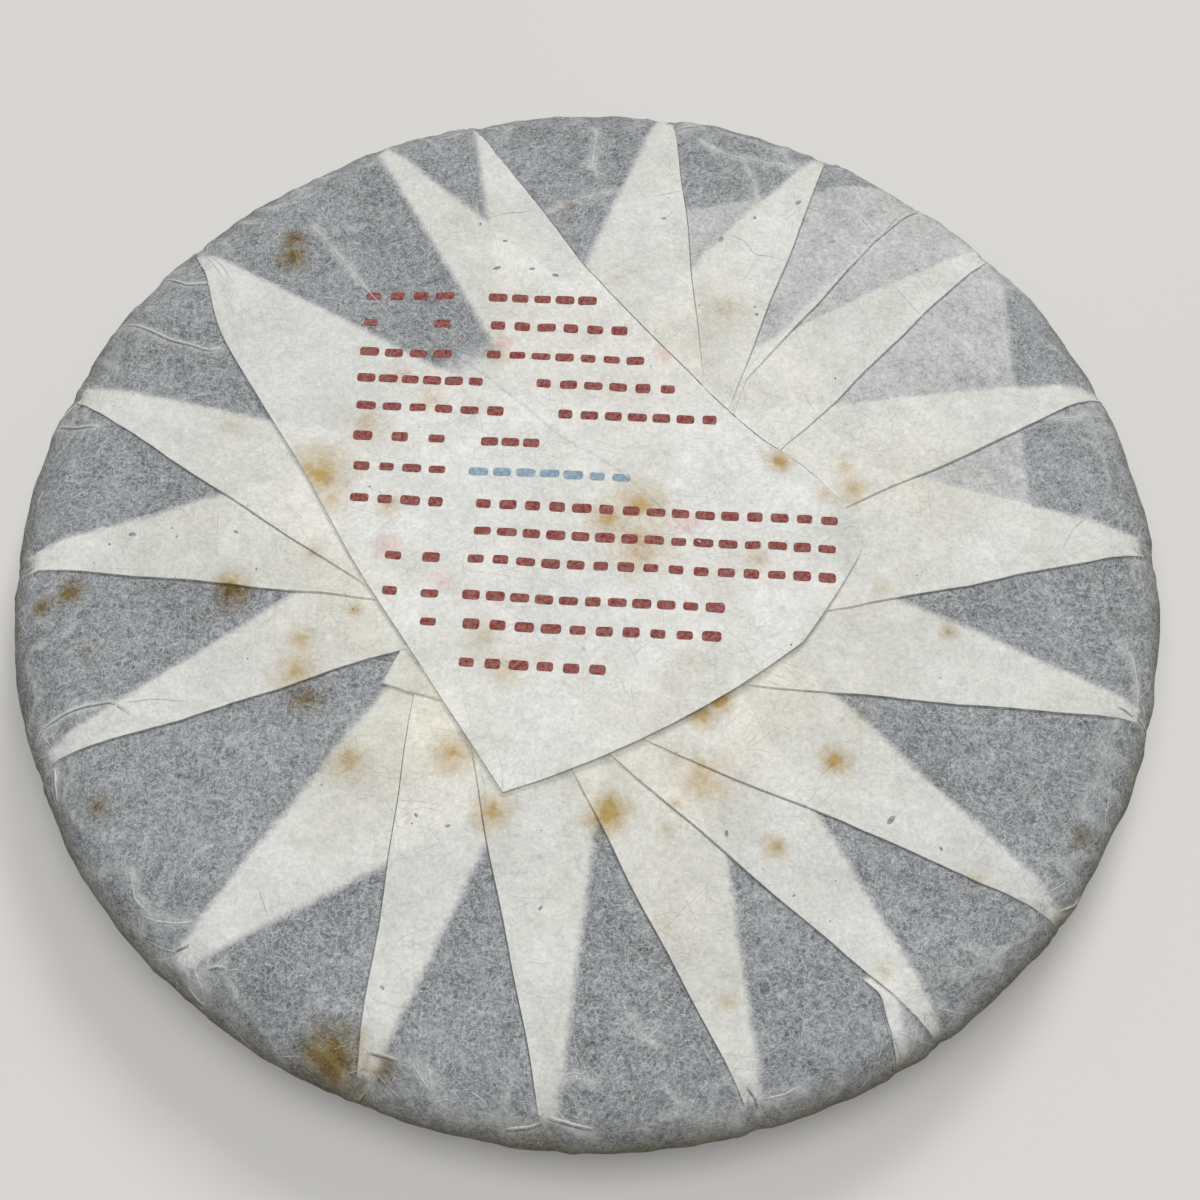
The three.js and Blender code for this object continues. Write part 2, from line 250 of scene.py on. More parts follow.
# The print on the flap: plain bars in rows. Each row has its height at the left, and where its bars run.
# The slope changes from the top row to the bottom row.
PRINT_LEFT = -40.0
PRINT_TOP, PRINT_BOTTOM = 51.1, -22.0
PRINT_SLOPE_TOP = -0.045
PRINT_SLOPE_BOTTOM = -0.072
LABEL_END = -24.0
RED_ROWS = [
    (51.1, [(-41.6, LABEL_END), (-18.5, 2.0)]),
    (45.0, [(-41.6, -37.5), (-29.0, LABEL_END), (-18.5, 8.0)]),
    (38.6, [(-41.6, LABEL_END), (-19.0, 15.0)]),
    (32.8, [(-41.6, -18.0), (-10.0, 21.0)]),
    (26.8, [(-41.6, -14.0), (-6.0, 28.0)]),
    (20.6, [(-41.6, -37.5), (-35.0, -31.0), (-29.0, LABEL_END), (-19.0, -8.0)]),
    (14.4, [(-41.6, LABEL_END)]),
    (8.0, [(-41.6, LABEL_END), (-20.0, 48.0)]),
    (2.6, [(-20.0, 43.0)]),
    (-2.8, [(-41.6, -37.5), (-35.0, -31.0), (-29.0, LABEL_END), (-21.0, 47.0)]),
    (-9.6, [(-35.5, -31.0), (-29.0, LABEL_END), (-21.5, 23.6)]),
    (-15.0, [(-29.0, LABEL_END), (-21.5, 23.0)]),
    (-22.0, [(-28.0, LABEL_END), (-22.0, 4.0)]),
]
STAMP_ROW = (14.4, [(-21.0, 8.0)])
RED_SEED, STAMP_SEED = 51, 52
BAR_PITCH = 4.25
BAR_WIDTH = 3.1
BAR_HEIGHT = 1.75
BAR_WIDTHS, BAR_HEIGHTS = (0.8, 1.12), (0.85, 1.1)
BAR_ROUND, BAR_CORNER_POINTS = 0.5, 2
BAR_THICKNESS = 0.07
BAR_SINK = 0.02
WELD_DISTANCE = 0.001 * MM
INK_CLEARANCE = 0.6

# Creases pressed into the paper, in plan: pale ridges, and small folds, each a line of painted shadow with
# a pale side.
RIDGES = [
    [(1.7, 91.5), (0.7, 82.0), (2.3, 78.2)],
    [(-7.9, 70.7), (-2.5, 73.4), (5.5, 75.8)],
    [(-19.5, 68.8), (-14.7, 70.5), (-9.6, 70.9)],
    [(21.6, 88.7), (25.3, 85.4), (30.1, 83.9), (38.7, 82.5), (41.6, 80.5)],
    [(29.9, 84.2), (31.4, 78.4), (32.5, 72.8)],
    [(50.9, 70.8), (53.3, 67.2), (54.6, 63.9)],
    [(55.4, 54.9), (58.2, 51.0), (61.5, 46.6), (65.0, 44.4)],
    [(65.0, 44.4), (68.3, 40.4), (71.5, 35.7), (73.0, 32.9)],
    [(25.6, 65.5), (29.3, 63.7), (31.0, 60.4), (36.6, 59.1)],
    [(12.7, 74.1), (15.1, 74.8), (17.8, 75.8)],
    [(89.7, -19.3), (91.4, -20.9), (91.7, -24.8), (91.3, -31.0)],
    [(82.0, 25.2), (86.5, 24.8), (91.0, 27.3)],
    [(-69.5, -65.2), (-67.4, -66.3), (-63.6, -66.9), (-60.0, -66.8)],
    [(-71.9, -58.5), (-71.0, -62.6), (-68.3, -65.1)],
    [(-60.9, -73.1), (-59.6, -75.7), (-58.7, -78.2)],
    [(-25.8, -88.7), (-24.6, -90.6), (-23.4, -92.2)],
    [(26.5, -93.4), (30.0, -92.7), (32.6, -91.4)],
    [(-51.6, 67.2), (-46.0, 59.8), (-40.0, 51.7), (-35.0, 45.4)],
    [(-73.2, 63.7), (-69.4, 58.3), (-67.2, 54.8)],
    [(-71.3, 61.7), (-67.9, 58.1), (-65.4, 53.9)],
    [(-76.2, -30.3), (-71.3, -29.5), (-65.5, -30.1)],
    [(81.4, -1.6), (83.7, 2.3), (86.6, 4.9)],
    [(-51.5, -60.8), (-50.1, -64.1), (-49.3, -66.4)],
    [(6.8, -81.2), (8.3, -84.2), (10.5, -85.6)],
    [(-3.7, -90.7), (-1.5, -90.0), (0.8, -91.1)],
]
FOLDS = [
    [(-79.7, 57.7), (-74.5, 54.3), (-69.5, 53.9)],
    [(-86.6, 47.1), (-81.8, 44.8), (-76.6, 41.7), (-72.3, 40.3), (-68.7, 39.1), (-66.1, 39.8)],
    [(-95.8, 25.1), (-91.0, 23.3), (-86.7, 23.1)],
    [(-90.7, -35.9), (-89.6, -33.9), (-86.0, -32.1), (-81.9, -30.6), (-78.2, -30.1), (-74.6, -32.3)],
    [(-87.1, -40.0), (-86.6, -42.9), (-86.3, -45.6)],
    [(-94.5, 27.4), (-92.6, 29.7), (-91.2, 31.3)],
    [(-63.9, -71.2), (-61.4, -70.4)],
    [(-33.0, -87.1), (-29.9, -87.8), (-28.1, -88.4)],
    [(-12.0, -97.9), (-8.2, -97.6), (-5.9, -96.9)],
    [(-5.6, -96.4), (-3.3, -97.0), (-1.2, -97.6), (1.1, -98.0)],
    [(24.1, -92.0), (25.6, -93.7), (25.9, -94.8)],
    [(87.0, -30.6), (88.6, -31.2), (90.6, -32.3)],
    [(17.6, 92.4), (19.8, 92.8), (21.8, 93.5)],
    [(-61.9, -76.3), (-60.2, -78.2), (-59.0, -79.0)],
    [(52.2, 62.3), (59.8, 69.7), (66.0, 76.4)],
    [(91.1, -31.7), (92.6, -32.7), (93.7, -33.8)],
    [(75.0, -64.3), (78.0, -62.8), (79.3, -61.2)],
    [(-35.6, -93.4), (-34.0, -92.8), (-33.0, -92.1)],
    [(-58.4, -74.2), (-56.8, -74.0), (-55.6, -74.4)],
    [(-97.6, -3.9), (-96.2, -4.1), (-94.6, -4.3)],
]
# Each kind of crease: how wide it is, and how pale, where less than nothing is dark as painted shadow. The
# pale side of a small fold lies a little beside its line of painted shadow.
RIDGE_LOOK = (1.0, 1.4)
RIM_CREASE_LOOK = (0.8, 0.3)
FOLD_SHADOW_LOOK = (0.9, -0.85)
FOLD_PALE_LOOK = (1.75, 1.4)
PLEAT_SHADOW_LOOK = (0.6, -0.95)
FLAP_EDGE_SHADOW_LOOK = (0.9, -0.8)
FOLD_SIDE = 0.36
# The line of painted shadow at the foot of each sharp fold: the radius where it starts, and how far it lies
# outside the fold. The line of painted shadow along the flap's right side lies a little outside the flap.
PLEAT_SHADOW_START = 98.4
PLEAT_SHADOW_OUT = 0.22
PLEAT_SHADOW_STEPS = 80
FEWEST_PLACES = 4
FLAP_EDGE_SHADOW_OUT = 0.66
# Creases that fan out from each pleat's tip over the rim, and more that run along the rim. Leans are
# degrees over the rim's turn, and LEAN_RADIUS is the length of paper for each radian of lean.
TIP_CREASES = 4
TIP_CREASE_FAN = 38.0
TIP_CREASE_SPREAD = 12
TIP_CREASE_LEAN = 44.0
TIP_CREASE_LENGTHS = (3.5, 10.0)
RIM_CREASES = 46
RIM_CREASE_LEANS = (25.0, 105.0)
RIM_CREASE_HEADINGS = (50, 130)
RIM_CREASE_BEND = 25
LEAN_RADIUS = 10.3
CREASE_STEP, FEWEST_STEPS = 0.8, 5
DRAPE_SHRINK = 0.995
CREASE_RADIUS = 0.16
CREASE_SIDES = 6
CREASE_END_WIDTH, CREASE_TAPER, CREASE_WIDTHS = 0.25, 3, (0.75, 1)
CREASE_SEED = 41
CREASE_SINK = 0.03
CREASE_DEPTH = -0.1
CREASE_RELIEF = 0.14
CREASE_SPREAD = 0.8

# Small end of the paper tucked in beside the flap.
TUCKED_CORNER = [(-30.2, -19.4), (-33.8, -27.1), (-22.4, -30.6)]
TUCKED_ROWS = 14
TUCKED_BLUNT = 0.04
TUCKED_RISE = 0.14
TUCKED_LIFT = 0.3
TUCKED_THICKNESS = 0.12

# The paper's colours: by how many layers lie together, as places on the ramp and tones, and where it is
# lifted, veiled, aged or stained, with painted shadow at folds and painted shade with yellowing on the rim.
PAPER_TONES = [(0.0, srgb(129, 132, 134)), (0.2, srgb(182, 183, 182)), (0.4, srgb(217, 217, 212)),
               (0.8, srgb(229, 228, 223))]
LIFTED_TONE = srgb(222, 223, 219)
CREASE_SHADOW = srgb(92, 92, 88)
LONG_FIBRE_TONE = srgb(222, 225, 224)
SHORT_FIBRE_TONE = srgb(232, 234, 233)
LEAF_GRAIN_TONE = srgb(82, 84, 84)
LEAF_DOT_TONE = srgb(92, 92, 92)
HAZE_TINT = srgb(227, 229, 229)
AGED_TINT = srgb(250, 246, 234)
CREAM_TINT = srgb(253, 251, 241)
SMEAR_TINT = srgb(244, 178, 176)
# Yellowed paper round the rim, also darkened there as painted shade.
RIM_YELLOW_AND_SHADE_TINT = srgb(180, 169, 141)
CRUMB_TONES = srgb(124, 126, 124), srgb(172, 174, 172)
# The inks, each with the paper that shows where it is worn, and how much does.
RED_INK = (srgb(126, 48, 42), srgb(206, 180, 172), 0.35)
STAMP_INK = (srgb(118, 146, 164), srgb(206, 212, 214), 0.6)
FLOOR_TONES = srgb(216, 214, 210), srgb(220, 218, 214)

# What changes with the layers of paper: from and to how many layers, and the share at each. Stains tint
# white paper differently from grey paper.
TONE_BY_LAYER = (1.0, 6.0)
LEAF_BY_LAYER = (1.0, 3.0, 0.66, 0.2)
LONG_FIBRES_BY_LAYER = (1.0, 4.0, 0.28, 0.12)
SHORT_FIBRES_BY_LAYER = (1.0, 4.0, 0.44, 0.18)
RIDGES_BY_LAYER = (1.0, 3.0, 0.5, 0.25)
# The dark lines of painted shadow at folds.
PAINTED_SHADOW_BY_LAYER = (1.0, 3.0, -1.0, -0.5)
HAZE_BY_LAYER = (1.5, 4.0, 0.0, 0.55)
AGE_BY_LAYER = (1.0, 3.0, 0.15, 1.0)
CREAM_BY_LAYER = (1.5, 3.0)
STAIN_TINTS = [((1.0, 2.5), srgb(210, 182, 122)), ((1.0, 2.5, 1.0, 0.0), srgb(200, 170, 112))]
GRAINS_BY_LAYER = (1.0, 2.6, 0.14, 0.0)
# How many layers each wedge and the hidden corner of the sheet add, and how soft their edges are.
ADDED_LAYERS = {"wedge_1": 2.0, "wedge_2": 2.0, "wedge_3": 2.0, "sheet_corner": 1.0}
EDGE_WOBBLE = 0.5
HIDDEN_EDGE_BLUR = 0.95

# Noise patterns: scale for each metre, detail, roughness and distortion. A second group of numbers is the
# range of the noise that is spread over 0 to 1, or over the two values that end it.
EDGE_NOISE = (600.0, 3.0)
RAGGED_NOISE = (330.0, 4.0, 0.6)
GRAIN_NOISE = (900.0, 3.0, 0.6)
CREASED_NOISE = (120.0, 4.0, 0.6, 0.4)
FIBRE_PATCHES = (110.0, 2.0), (0.4, 0.65, 0.3, 1.0)
RIDGE_PATCHES = (350.0, 3.0), (0.3, 0.6, 0.4, 1.0)
HAZE_PATCHES = (75.0, 6.0, 0.62), (0.36, 0.64)
AGED_PATCHES = (38.0, 4.0, 0.6), (0.42, 0.75, 0.0, 0.5)
CREAM_PATCHES = (55.0, 3.0), (0.35, 0.7)
STAIN_MOTTLE = (900.0, 3.0), (0.3, 0.7, 0.8, 1.1)
ROUGHNESS_PATCHES = (200.0, 2.0), (0.3, 0.7, 0.78, 0.92)
CRUMB_PATCHES = (1400.0, 3.0, 0.6), (0.35, 0.65)
INK_PATCHES = (1500.0, 3.0, 0.6), (0.4, 0.7)
FLOOR_PATCHES = (3.0, 2.0), (0.3, 0.7)
# The leaf's clouds, pieces and grain, each as a pattern that darkens or lightens by its last value.
LEAF_PATTERNS = [
    ((60.0, 2.0, 0.6), (0.3, 0.7, -0.22, 0.22)),
    ((260.0, 2.0, 0.6), (0.3, 0.7, -0.26, 0.26)),
    ((800.0, 2.0, 0.6), (0.3, 0.7, -0.34, 0.34)),
    ((1700.0, 3.0, 0.6), (0.28, 0.72, -0.6, 0.6)),
]
# Fibres: the directions in which they run, how long they are for their width, and the scale and width of
# the long ones, of the short ones and of those that show through ink.
FIBRE_TURNS = (14.0, 77.0, 131.0)
FIBRE_STRETCH = 3.2
FIBRE_DETAIL, FIBRE_DISTORTION = 1.5, 0.35
LONG_FIBRES = {"Scale": 260.0, "Width": 0.014}
SHORT_FIBRES = {"Scale": 1550.0, "Width": 0.024}
INK_FIBRES = {"Scale": 420.0, "Width": 0.014}
INK_FIBRE_SHARE = 0.6
# A stain's soft edge and its core: the depths between which each comes up, and its share.
STAIN_RAGGED = 1.3
STAIN_EDGE, STAIN_EDGE_SHARE = (-0.5, 0.45), 0.55
STAIN_CORE, STAIN_CORE_SHARE = (0.3, 0.95), 0.75
SMEAR_RAGGED = 1.6
SMEAR_EDGE, SMEAR_SHARE = (0.0, 0.8), 0.35
# Heights between which the rim yellows and darkens with painted shade, and between which that fades on the
# underside, with the shares.
RIM_YELLOW_AND_SHADE_HEIGHTS = (19.2 * MM, 14.0 * MM, 0.0, 0.9)
FACE_YELLOW_AND_SHADE_HEIGHTS = (1.0 * MM, 7.0 * MM, 0.35, 1.0)
# Dots of leaf that show through: scale, the distances over which a dot fades, and which of them there are.
GRAIN_DOTS = (900.0, (0.12, 0.22), (0.6, 0.95))
LEAF_DOTS = (150.0, (0.05, 0.1), (0.9, 1.0))
LEAF_DOT_SHARE = 0.6
# Fine relief in the paper: shares of grain, creases and fibres, and the strength and depth of it all.
GRAIN_RELIEF, CREASED_RELIEF, FIBRE_RELIEF = 0.5, 1.6, 0.25
PAPER_BUMP = (0.7, 0.0004)
INK_BUMP = (0.2, 0.0001)
INK_ROUGHNESS = (0.7, 0.85)
PAPER_SHINE, CRUMB_SHINE = 0.25, 0.2
CRUMB_ROUGHNESS, FLOOR_ROUGHNESS = 0.9, 0.85

# Camera: the photograph looks down on the back from in front.
AIM = (2.26, -6.78, 13.0)
CAMERA_DISTANCE = 314.14
CAMERA_ELEVATION = 63.5
LENS = 54.0
SENSOR_WIDTH = 36.0
# Soft lights, turned to the middle of the floor: place, size, watts and colour. Then the room and floor.
LIGHTS = {
    "key": ((0.5, 1.4, 1.4), 0.65, 17.5, (1.0, 0.985, 0.96)),
    "overhead": ((0.0, -0.25, 1.4), 1.2, 15.2, (0.98, 0.985, 1.0)),
}
ROOM_COLOR, ROOM_STRENGTH = (0.95, 0.97, 1.0, 1.0), 0.11
FLOOR_REACH = 6.0


def smoothstep(low, high, value):
    """0 below low, 1 above high, and smooth between."""
    share = np.clip((value - low) / (high - low), 0.0, 1.0)
    return share * share * (3 - 2 * share)


def soft_side(distance):
    """1 well inside an edge, 0 well outside it."""
    return smoothstep(-HIDDEN_EDGE_WIDTH / 2, HIDDEN_EDGE_WIDTH / 2, distance)


def waves(points, length, height, seed):
    """Seeded plane waves in all directions: smooth unevenness of about that length and height."""
    rng = random.Random(seed)
    total = np.zeros(points.shape[:-1])
    for _ in range(WAVE_COUNT):
        direction = Vector((rng.gauss(0, 1), rng.gauss(0, 1), rng.gauss(0, 1))).normalized()
        pitch = 2 * math.pi / (length * rng.uniform(*WAVE_LENGTHS))
        total += np.cos(points @ np.array(direction) * pitch + rng.uniform(0, 2 * math.pi))
    return height * total / math.sqrt(WAVE_COUNT / 2)


def leaf_lumps(points):
    """Unevenness of the pressed leaf that the paper follows."""
    return sum(waves(points, length, height, seed) for length, height, seed in LUMPS)


def back_height(radius):
    """Height of the bare cake's back inside the shoulder."""
    fall = MIDDLE_HEIGHT - SHOULDER_HEIGHT
    return MIDDLE_HEIGHT - fall * (np.minimum(radius, SHOULDER_RADIUS) / SHOULDER_RADIUS) ** CROWN_POWER


def shoulder_height(radius):
    """Height of the back or of the shoulder at a radius."""
    turn = math.asin(min(max(radius - SHOULDER_RADIUS, 0) / (RIM_RADIUS - SHOULDER_RADIUS), 1))
    return back_height(radius) - (SHOULDER_HEIGHT - RIM_HEIGHT) * (1 - math.cos(turn))


def face_height(radius):
    """Height of the domed face between the resting spot and the rim."""
    return FACE_EDGE_HEIGHT * ((radius - REST_RADIUS) / (FACE_EDGE_RADIUS - REST_RADIUS)) ** FACE_POWER


def section_rings():
    """Radius, height, relief and lean of each ring, from the covered middle to the resting spot."""
    across_back = np.linspace(COVERED_RADIUS, SHOULDER_RADIUS, BACK_RINGS)
    rings = [(radius, back_height(radius), 1.0, 0.0) for radius in across_back]
    for i in range(1, SHOULDER_RINGS + 1):
        turn = math.pi / 2 * i / SHOULDER_RINGS
        radius = SHOULDER_RADIUS + (RIM_RADIUS - SHOULDER_RADIUS) * math.sin(turn)
        height = RIM_HEIGHT + (SHOULDER_HEIGHT - RIM_HEIGHT) * math.cos(turn)
        rings.append((radius, height, math.cos(turn), turn))
    for i in range(1, LOWER_RIM_RINGS + 1):
        turn = math.pi / 2 * i / LOWER_RIM_RINGS
        radius = FACE_EDGE_RADIUS + (RIM_RADIUS - FACE_EDGE_RADIUS) * math.cos(turn)
        height = RIM_HEIGHT - (RIM_HEIGHT - FACE_EDGE_HEIGHT) * math.sin(turn)
        rings.append((radius, height, 0.0, math.pi / 2 + turn))
    for radius in np.linspace(FACE_EDGE_RADIUS, REST_RADIUS, FACE_RINGS + 1)[1:]:
        rings.append((radius, face_height(radius), 0.0, math.pi))
    return np.array(rings, dtype=float).T


def pleat_at(tip):
    """The pleat with a tip."""
    return next(pleat for pleat in PLEATS if pleat.tip == tip)


def side_line(pleat, side):
    """The angle on the rim and the distance from the middle of one side of a pleat."""
    half = math.degrees(NARROW_TIPS.get(pleat.tip, TIP_HALF_WIDTH) / RIM_RADIUS)
    return (pleat.tip - half, pleat.start) if side == "start" else (pleat.tip + half, pleat.end)


def beside(tip, miss, x, y):
    """Signed distance of plan points from a crease, positive on its counter-clockwise side."""
    heading = math.radians(tip) - math.asin(miss / RIM_RADIUS)
    return y * math.cos(heading) - x * math.sin(heading) - miss


def fold_angle(pleat, radius):
    """Angle at a radius of a pleat's sharp fold, with the bend that it has near the rim."""
    turn, bend_from, bend_to = TIP_BENDS.get(pleat.tip, (0.0, 0.0, 1.0))
    tip, miss = side_line(pleat, pleat.fold)
    tip += FOLD_TIP_SHIFTS.get(pleat.tip, 0.0)
    straight = math.radians(tip) + np.arcsin(np.clip(miss / radius, -1, 1)) - math.asin(miss / RIM_RADIUS)
    wander = np.sin(radius / FOLD_WANDER_LENGTH + pleat.tip)
    wander = wander + FINER_WANDER * np.sin(FINER_PITCH * radius / FOLD_WANDER_LENGTH + 2 * pleat.tip)
    bend = math.radians(turn) * smoothstep(bend_from, bend_to, radius)
    return straight + bend + FOLD_WANDER * wander / radius


def fold_angles(radius):
    """Angle of every sharp fold at each radius, and how far it shows before it dives under a neighbour."""
    folds = [pleat for pleat in PLEATS if pleat.fold != "none"]
    natural = [fold_angle(fold, radius) for fold in folds]
    angles = [angle.copy() for angle in natural]
    spacing = FOLD_SPACING / radius
    for i, pleat in enumerate(folds):
        if pleat.fold == "end" and folds[i - 1].fold == "end":
            angles[i] = np.maximum(angles[i], angles[i - 1] + spacing)
    for i in reversed(range(len(folds) - 1)):
        if folds[i].fold == "start" and folds[i + 1].fold == "start":
            angles[i] = np.minimum(angles[i], angles[i + 1] - spacing)
    shown = [1 - smoothstep(0, DIVE_LENGTH, np.abs(a - n) * radius) for a, n in zip(angles, natural)]
    return folds, angles, shown


def interval_columns(widths):
    """How far each column of the wrapper lies across its interval between two sharp folds, 0 to 1."""
    total = sum(widths)
    columns = []
    for width in widths:
        even = np.linspace(0, 1, max(FEWEST_COLUMNS, round(COLUMNS * width / total)))
        columns.append(even - COLUMN_CROWDING * np.sin(2 * math.pi * even) / (2 * math.pi))
    return columns


def wedge_depths(x, y, start_fold, end_fold, start_shown, end_shown):
    """How far inside each pleat's wedge a place between two neighbouring sharp folds lies."""
    depths = []
    for pleat in PLEATS:
        past_start = beside(*side_line(pleat, "start"), x, y)
        before_end = -beside(*side_line(pleat, "end"), x, y)
        if pleat is start_fold:
            depth = before_end - OUTSIDE * (1 - start_shown) if pleat.fold == "start" else 0 * x - OUTSIDE
        elif pleat is end_fold:
            depth = past_start - OUTSIDE * (1 - end_shown) if pleat.fold == "end" else 0 * x - OUTSIDE
        else:
            depth = np.minimum(past_start, before_end)
        if pleat.tip == SPUR_TIP:
            depth = np.minimum(depth, np.hypot(x, y) - SPUR_RADIUS)
        outwards = x * math.cos(math.radians(pleat.tip)) + y * math.sin(math.radians(pleat.tip))
        to_end = LONG_TIPS.get(pleat.tip, TIP_END_RADIUS) - np.hypot(x, y)
        depths.append(np.clip(np.minimum(np.minimum(depth, outwards), to_end), -OUTSIDE, OUTSIDE))
    return depths


def sheet_corner_depth(x, y, start_fold):
    """How far inside the hidden corner of the sheet a place lies."""
    if not SHEET_CORNER_FOLDS[0] <= start_fold.tip < SHEET_CORNER_FOLDS[1]:
        return 0 * x - OUTSIDE
    line = SHEET_CORNER_Y + SHEET_CORNER_SLOPE * (x - SHEET_CORNER_MIDDLE)
    return np.clip(np.minimum(SHEET_CORNER_X - x, line - y), -OUTSIDE, OUTSIDE)


def layers_rise(depths, start_fold, end_fold, share):
    """How far the folded layers raise the paper, at a share of the way from one sharp fold to the next."""
    own, under = 0 * depths[0], 0 * depths[0]
    for pleat, depth in zip(PLEATS, depths):
        inside = soft_side(depth)
        if pleat is start_fold and pleat.fold == "start":
            own = np.maximum(own, inside * (1 - WEDGE_FALL * share))
        elif pleat is end_fold and pleat.fold == "end":
            own = np.maximum(own, inside * (1 - WEDGE_FALL * (1 - share)))
        else:
            under = under + inside
    return FOLD_RISE * own + LAYER_RISE * np.minimum(under, MOST_RAISED_LAYERS)


def stain_cones(places, stains):
    """How deep each place lies in the nearest stain (1 in its middle, 0 on its rim), and its strength."""
    depth, strength = np.full(len(places), -1.0), np.zeros(len(places))
    for x, y, radius, own in stains:
        run = STAIN_RUN * np.minimum(places[:, 2] - shoulder_height(math.hypot(x, y)), 0)
        cone = 1 - np.sqrt((places[:, 0] - x) ** 2 + (places[:, 1] - y) ** 2 + run ** 2) / radius
        strength = np.where(cone > depth, own, strength)
        depth = np.maximum(depth, cone)
    return depth, strength


def paper_values(places, depths, corner, cover, lifted, stains, smears=()):
    """The values that the paper's material reads on each vertex."""
    places = places.reshape(-1, 3)
    deepest = -np.sort(-np.stack(depths), axis=0)
    stain, strength = stain_cones(places, stains)
    out = np.hypot(places[:, 0], places[:, 1])
    cream = 0.0 if smears else smoothstep(-CREAM_TO, -CREAM_FROM, -out)
    values = {"wedge_1": deepest[0], "wedge_2": deepest[1], "wedge_3": deepest[2], "sheet_corner": corner,
              "cover": cover, "lifted": lifted, "stain": stain, "stain_strength": strength,
              "smear": stain_cones(places, smears)[0], "cream": cream}
    return {name: np.zeros(len(places)) + np.ravel(numbers) for name, numbers in values.items()}


def single_layer_values(places, depth, lifted):
    """The paper's values for a small piece that lies on the back, with its layers given by one depth."""
    depths = [np.full(len(places), number) for number in (depth, -OUTSIDE, -OUTSIDE)]
    return paper_values(places, depths, -OUTSIDE, 0, lifted, BACK_STAINS)


def crease_nearness(points):
    """1 on the paper's pressed creases, falling to 0 beside them."""
    x, y = points[..., 0], points[..., 1]
    nearest = np.full(x.shape, np.inf)
    for line in RIDGES + FOLDS:
        for (ax, ay), (bx, by) in zip(line, line[1:]):
            length = math.dist((ax, ay), (bx, by))
            ux, uy = (bx - ax) / length, (by - ay) / length
            share = ((x - ax) * ux + (y - ay) * uy).clip(0, length)
            nearest = np.minimum(nearest, np.hypot(x - ax - share * ux, y - ay - share * uy))
    return np.exp(-(nearest / CREASE_SPREAD) ** 2)


def outline_swell(angle, radius):
    """How far the outline stands out of its circle."""
    share = smoothstep(WAVES_START_RADIUS, RIM_RADIUS, radius)
    return share * sum(s * np.cos(n * (angle - math.radians(crest))) for n, s, crest in RIM_WAVES)


def crumples(points, lean, near_tips):
    """Height of the crumpled paper where it turns over the rim, and how far its ridges are lifted off."""
    on_rim = smoothstep(*CRUMPLES_COME, lean) * (1 - smoothstep(*CRUMPLES_GO, lean))
    on_rim = on_rim * (1 - RIM_SMOOTHING * np.sin(lean) ** RIM_SMOOTHING_POWER)
    height, lifted = 0, 0
    for (length, tallest, seed), amount in ((RIM_CRUMPLE, on_rim), (TIP_CRUMPLE, on_rim * near_tips)):
        away = np.abs(waves(points, length, 1.0, seed))
        height += tallest * amount * ((1 - away.clip(0, 1)) ** 2 - RIDGE_SINK)
        lifted = np.maximum(lifted, amount * (1 - away / RIDGE_WIDTH).clip(0, 1))
    return height, lifted


def tip_gathers(angle, lean):
    """Pinch and small wrinkles where each pleat starts on the rim, and how near each place is to a tip."""
    height, near_tips = np.zeros(angle.shape), np.zeros(angle.shape)
    on_rim = smoothstep(*WRINKLES_COME, lean) * (1 - smoothstep(*WRINKLES_GO, lean))
    for i, pleat in enumerate(PLEATS):
        away = (angle - math.radians(pleat.tip) + math.pi) % (2 * math.pi) - math.pi
        away = away * RIM_RADIUS
        near_tips = np.maximum(near_tips, np.exp(-(away / TIP_CRUMPLE_REACH) ** 2))
        pinch = TIP_PINCH * np.exp(-(away / TIP_PINCH_REACH) ** 2) * np.sin(lean) ** 2
        fan = away * (1 + TIP_WRINKLE_BEND * np.sin(lean * 2 + i)) / TIP_WRINKLE_LENGTH
        wrinkle = TIP_WRINKLE * np.exp(-(away / TIP_WRINKLE_REACH) ** 2) * on_rim
        height += wrinkle * np.cos(2 * math.pi * fan + TIP_WRINKLE_PHASE * i) - pinch
    return height, near_tips


def gore(fold, next_fold, share, radius):
    """Angle, rise, and depths in the wedges and the hidden corner, of the paper between two folds."""
    (start_fold, start_angle, start_shown), (end_fold, end_angle, end_shown) = fold, next_fold
    half = FOLD_WIDTH / radius
    first = start_angle + (half if start_fold.fold == "end" else 0)
    last = end_angle - (half if end_fold.fold == "start" else 0)
    angle = first + (last - first) * share
    x, y = radius * np.cos(angle), radius * np.sin(angle)
    depths = wedge_depths(x, y, start_fold, end_fold, start_shown, end_shown)
    puff = np.sin(math.pi * share) * ((last - first) * radius) * GORE_PUFF_SLOPE
    rise = layers_rise(depths, start_fold, end_fold, share) + np.minimum(puff, GORE_PUFF)
    return np.stack([angle, rise, *depths, sheet_corner_depth(x, y, start_fold)])


def joined_gores(radius, lean):
    """Angle, rise and layers' depths on the wrapper's rings and columns, and which columns are sharp."""
    plan_radius = np.where(lean <= math.pi / 2, np.maximum(radius, FROZEN_RADIUS), RIM_RADIUS)
    folds, angles, shown = fold_angles(plan_radius)
    ring = np.searchsorted(radius[:BACK_RINGS], SHARING_RADIUS)
    known = [(fold, angle[:, None], share[:, None]) for fold, angle, share in zip(folds, angles, shown)]
    known.append((folds[0], angles[0][:, None] + 2 * math.pi, shown[0][:, None]))
    neighbours = list(zip(known, known[1:]))
    columns = interval_columns([after[1][ring, 0] - before[1][ring, 0] for before, after in neighbours])
    gores = [gore(before, after, share[None, :], plan_radius[:, None])
             for (before, after), share in zip(neighbours, columns)]
    sharp = np.concatenate([[True] + [False] * (len(share) - 2) + [True] for share in columns])
    angle, rise, *depths = np.concatenate(gores, axis=-1)
    return angle, rise, depths, sharp


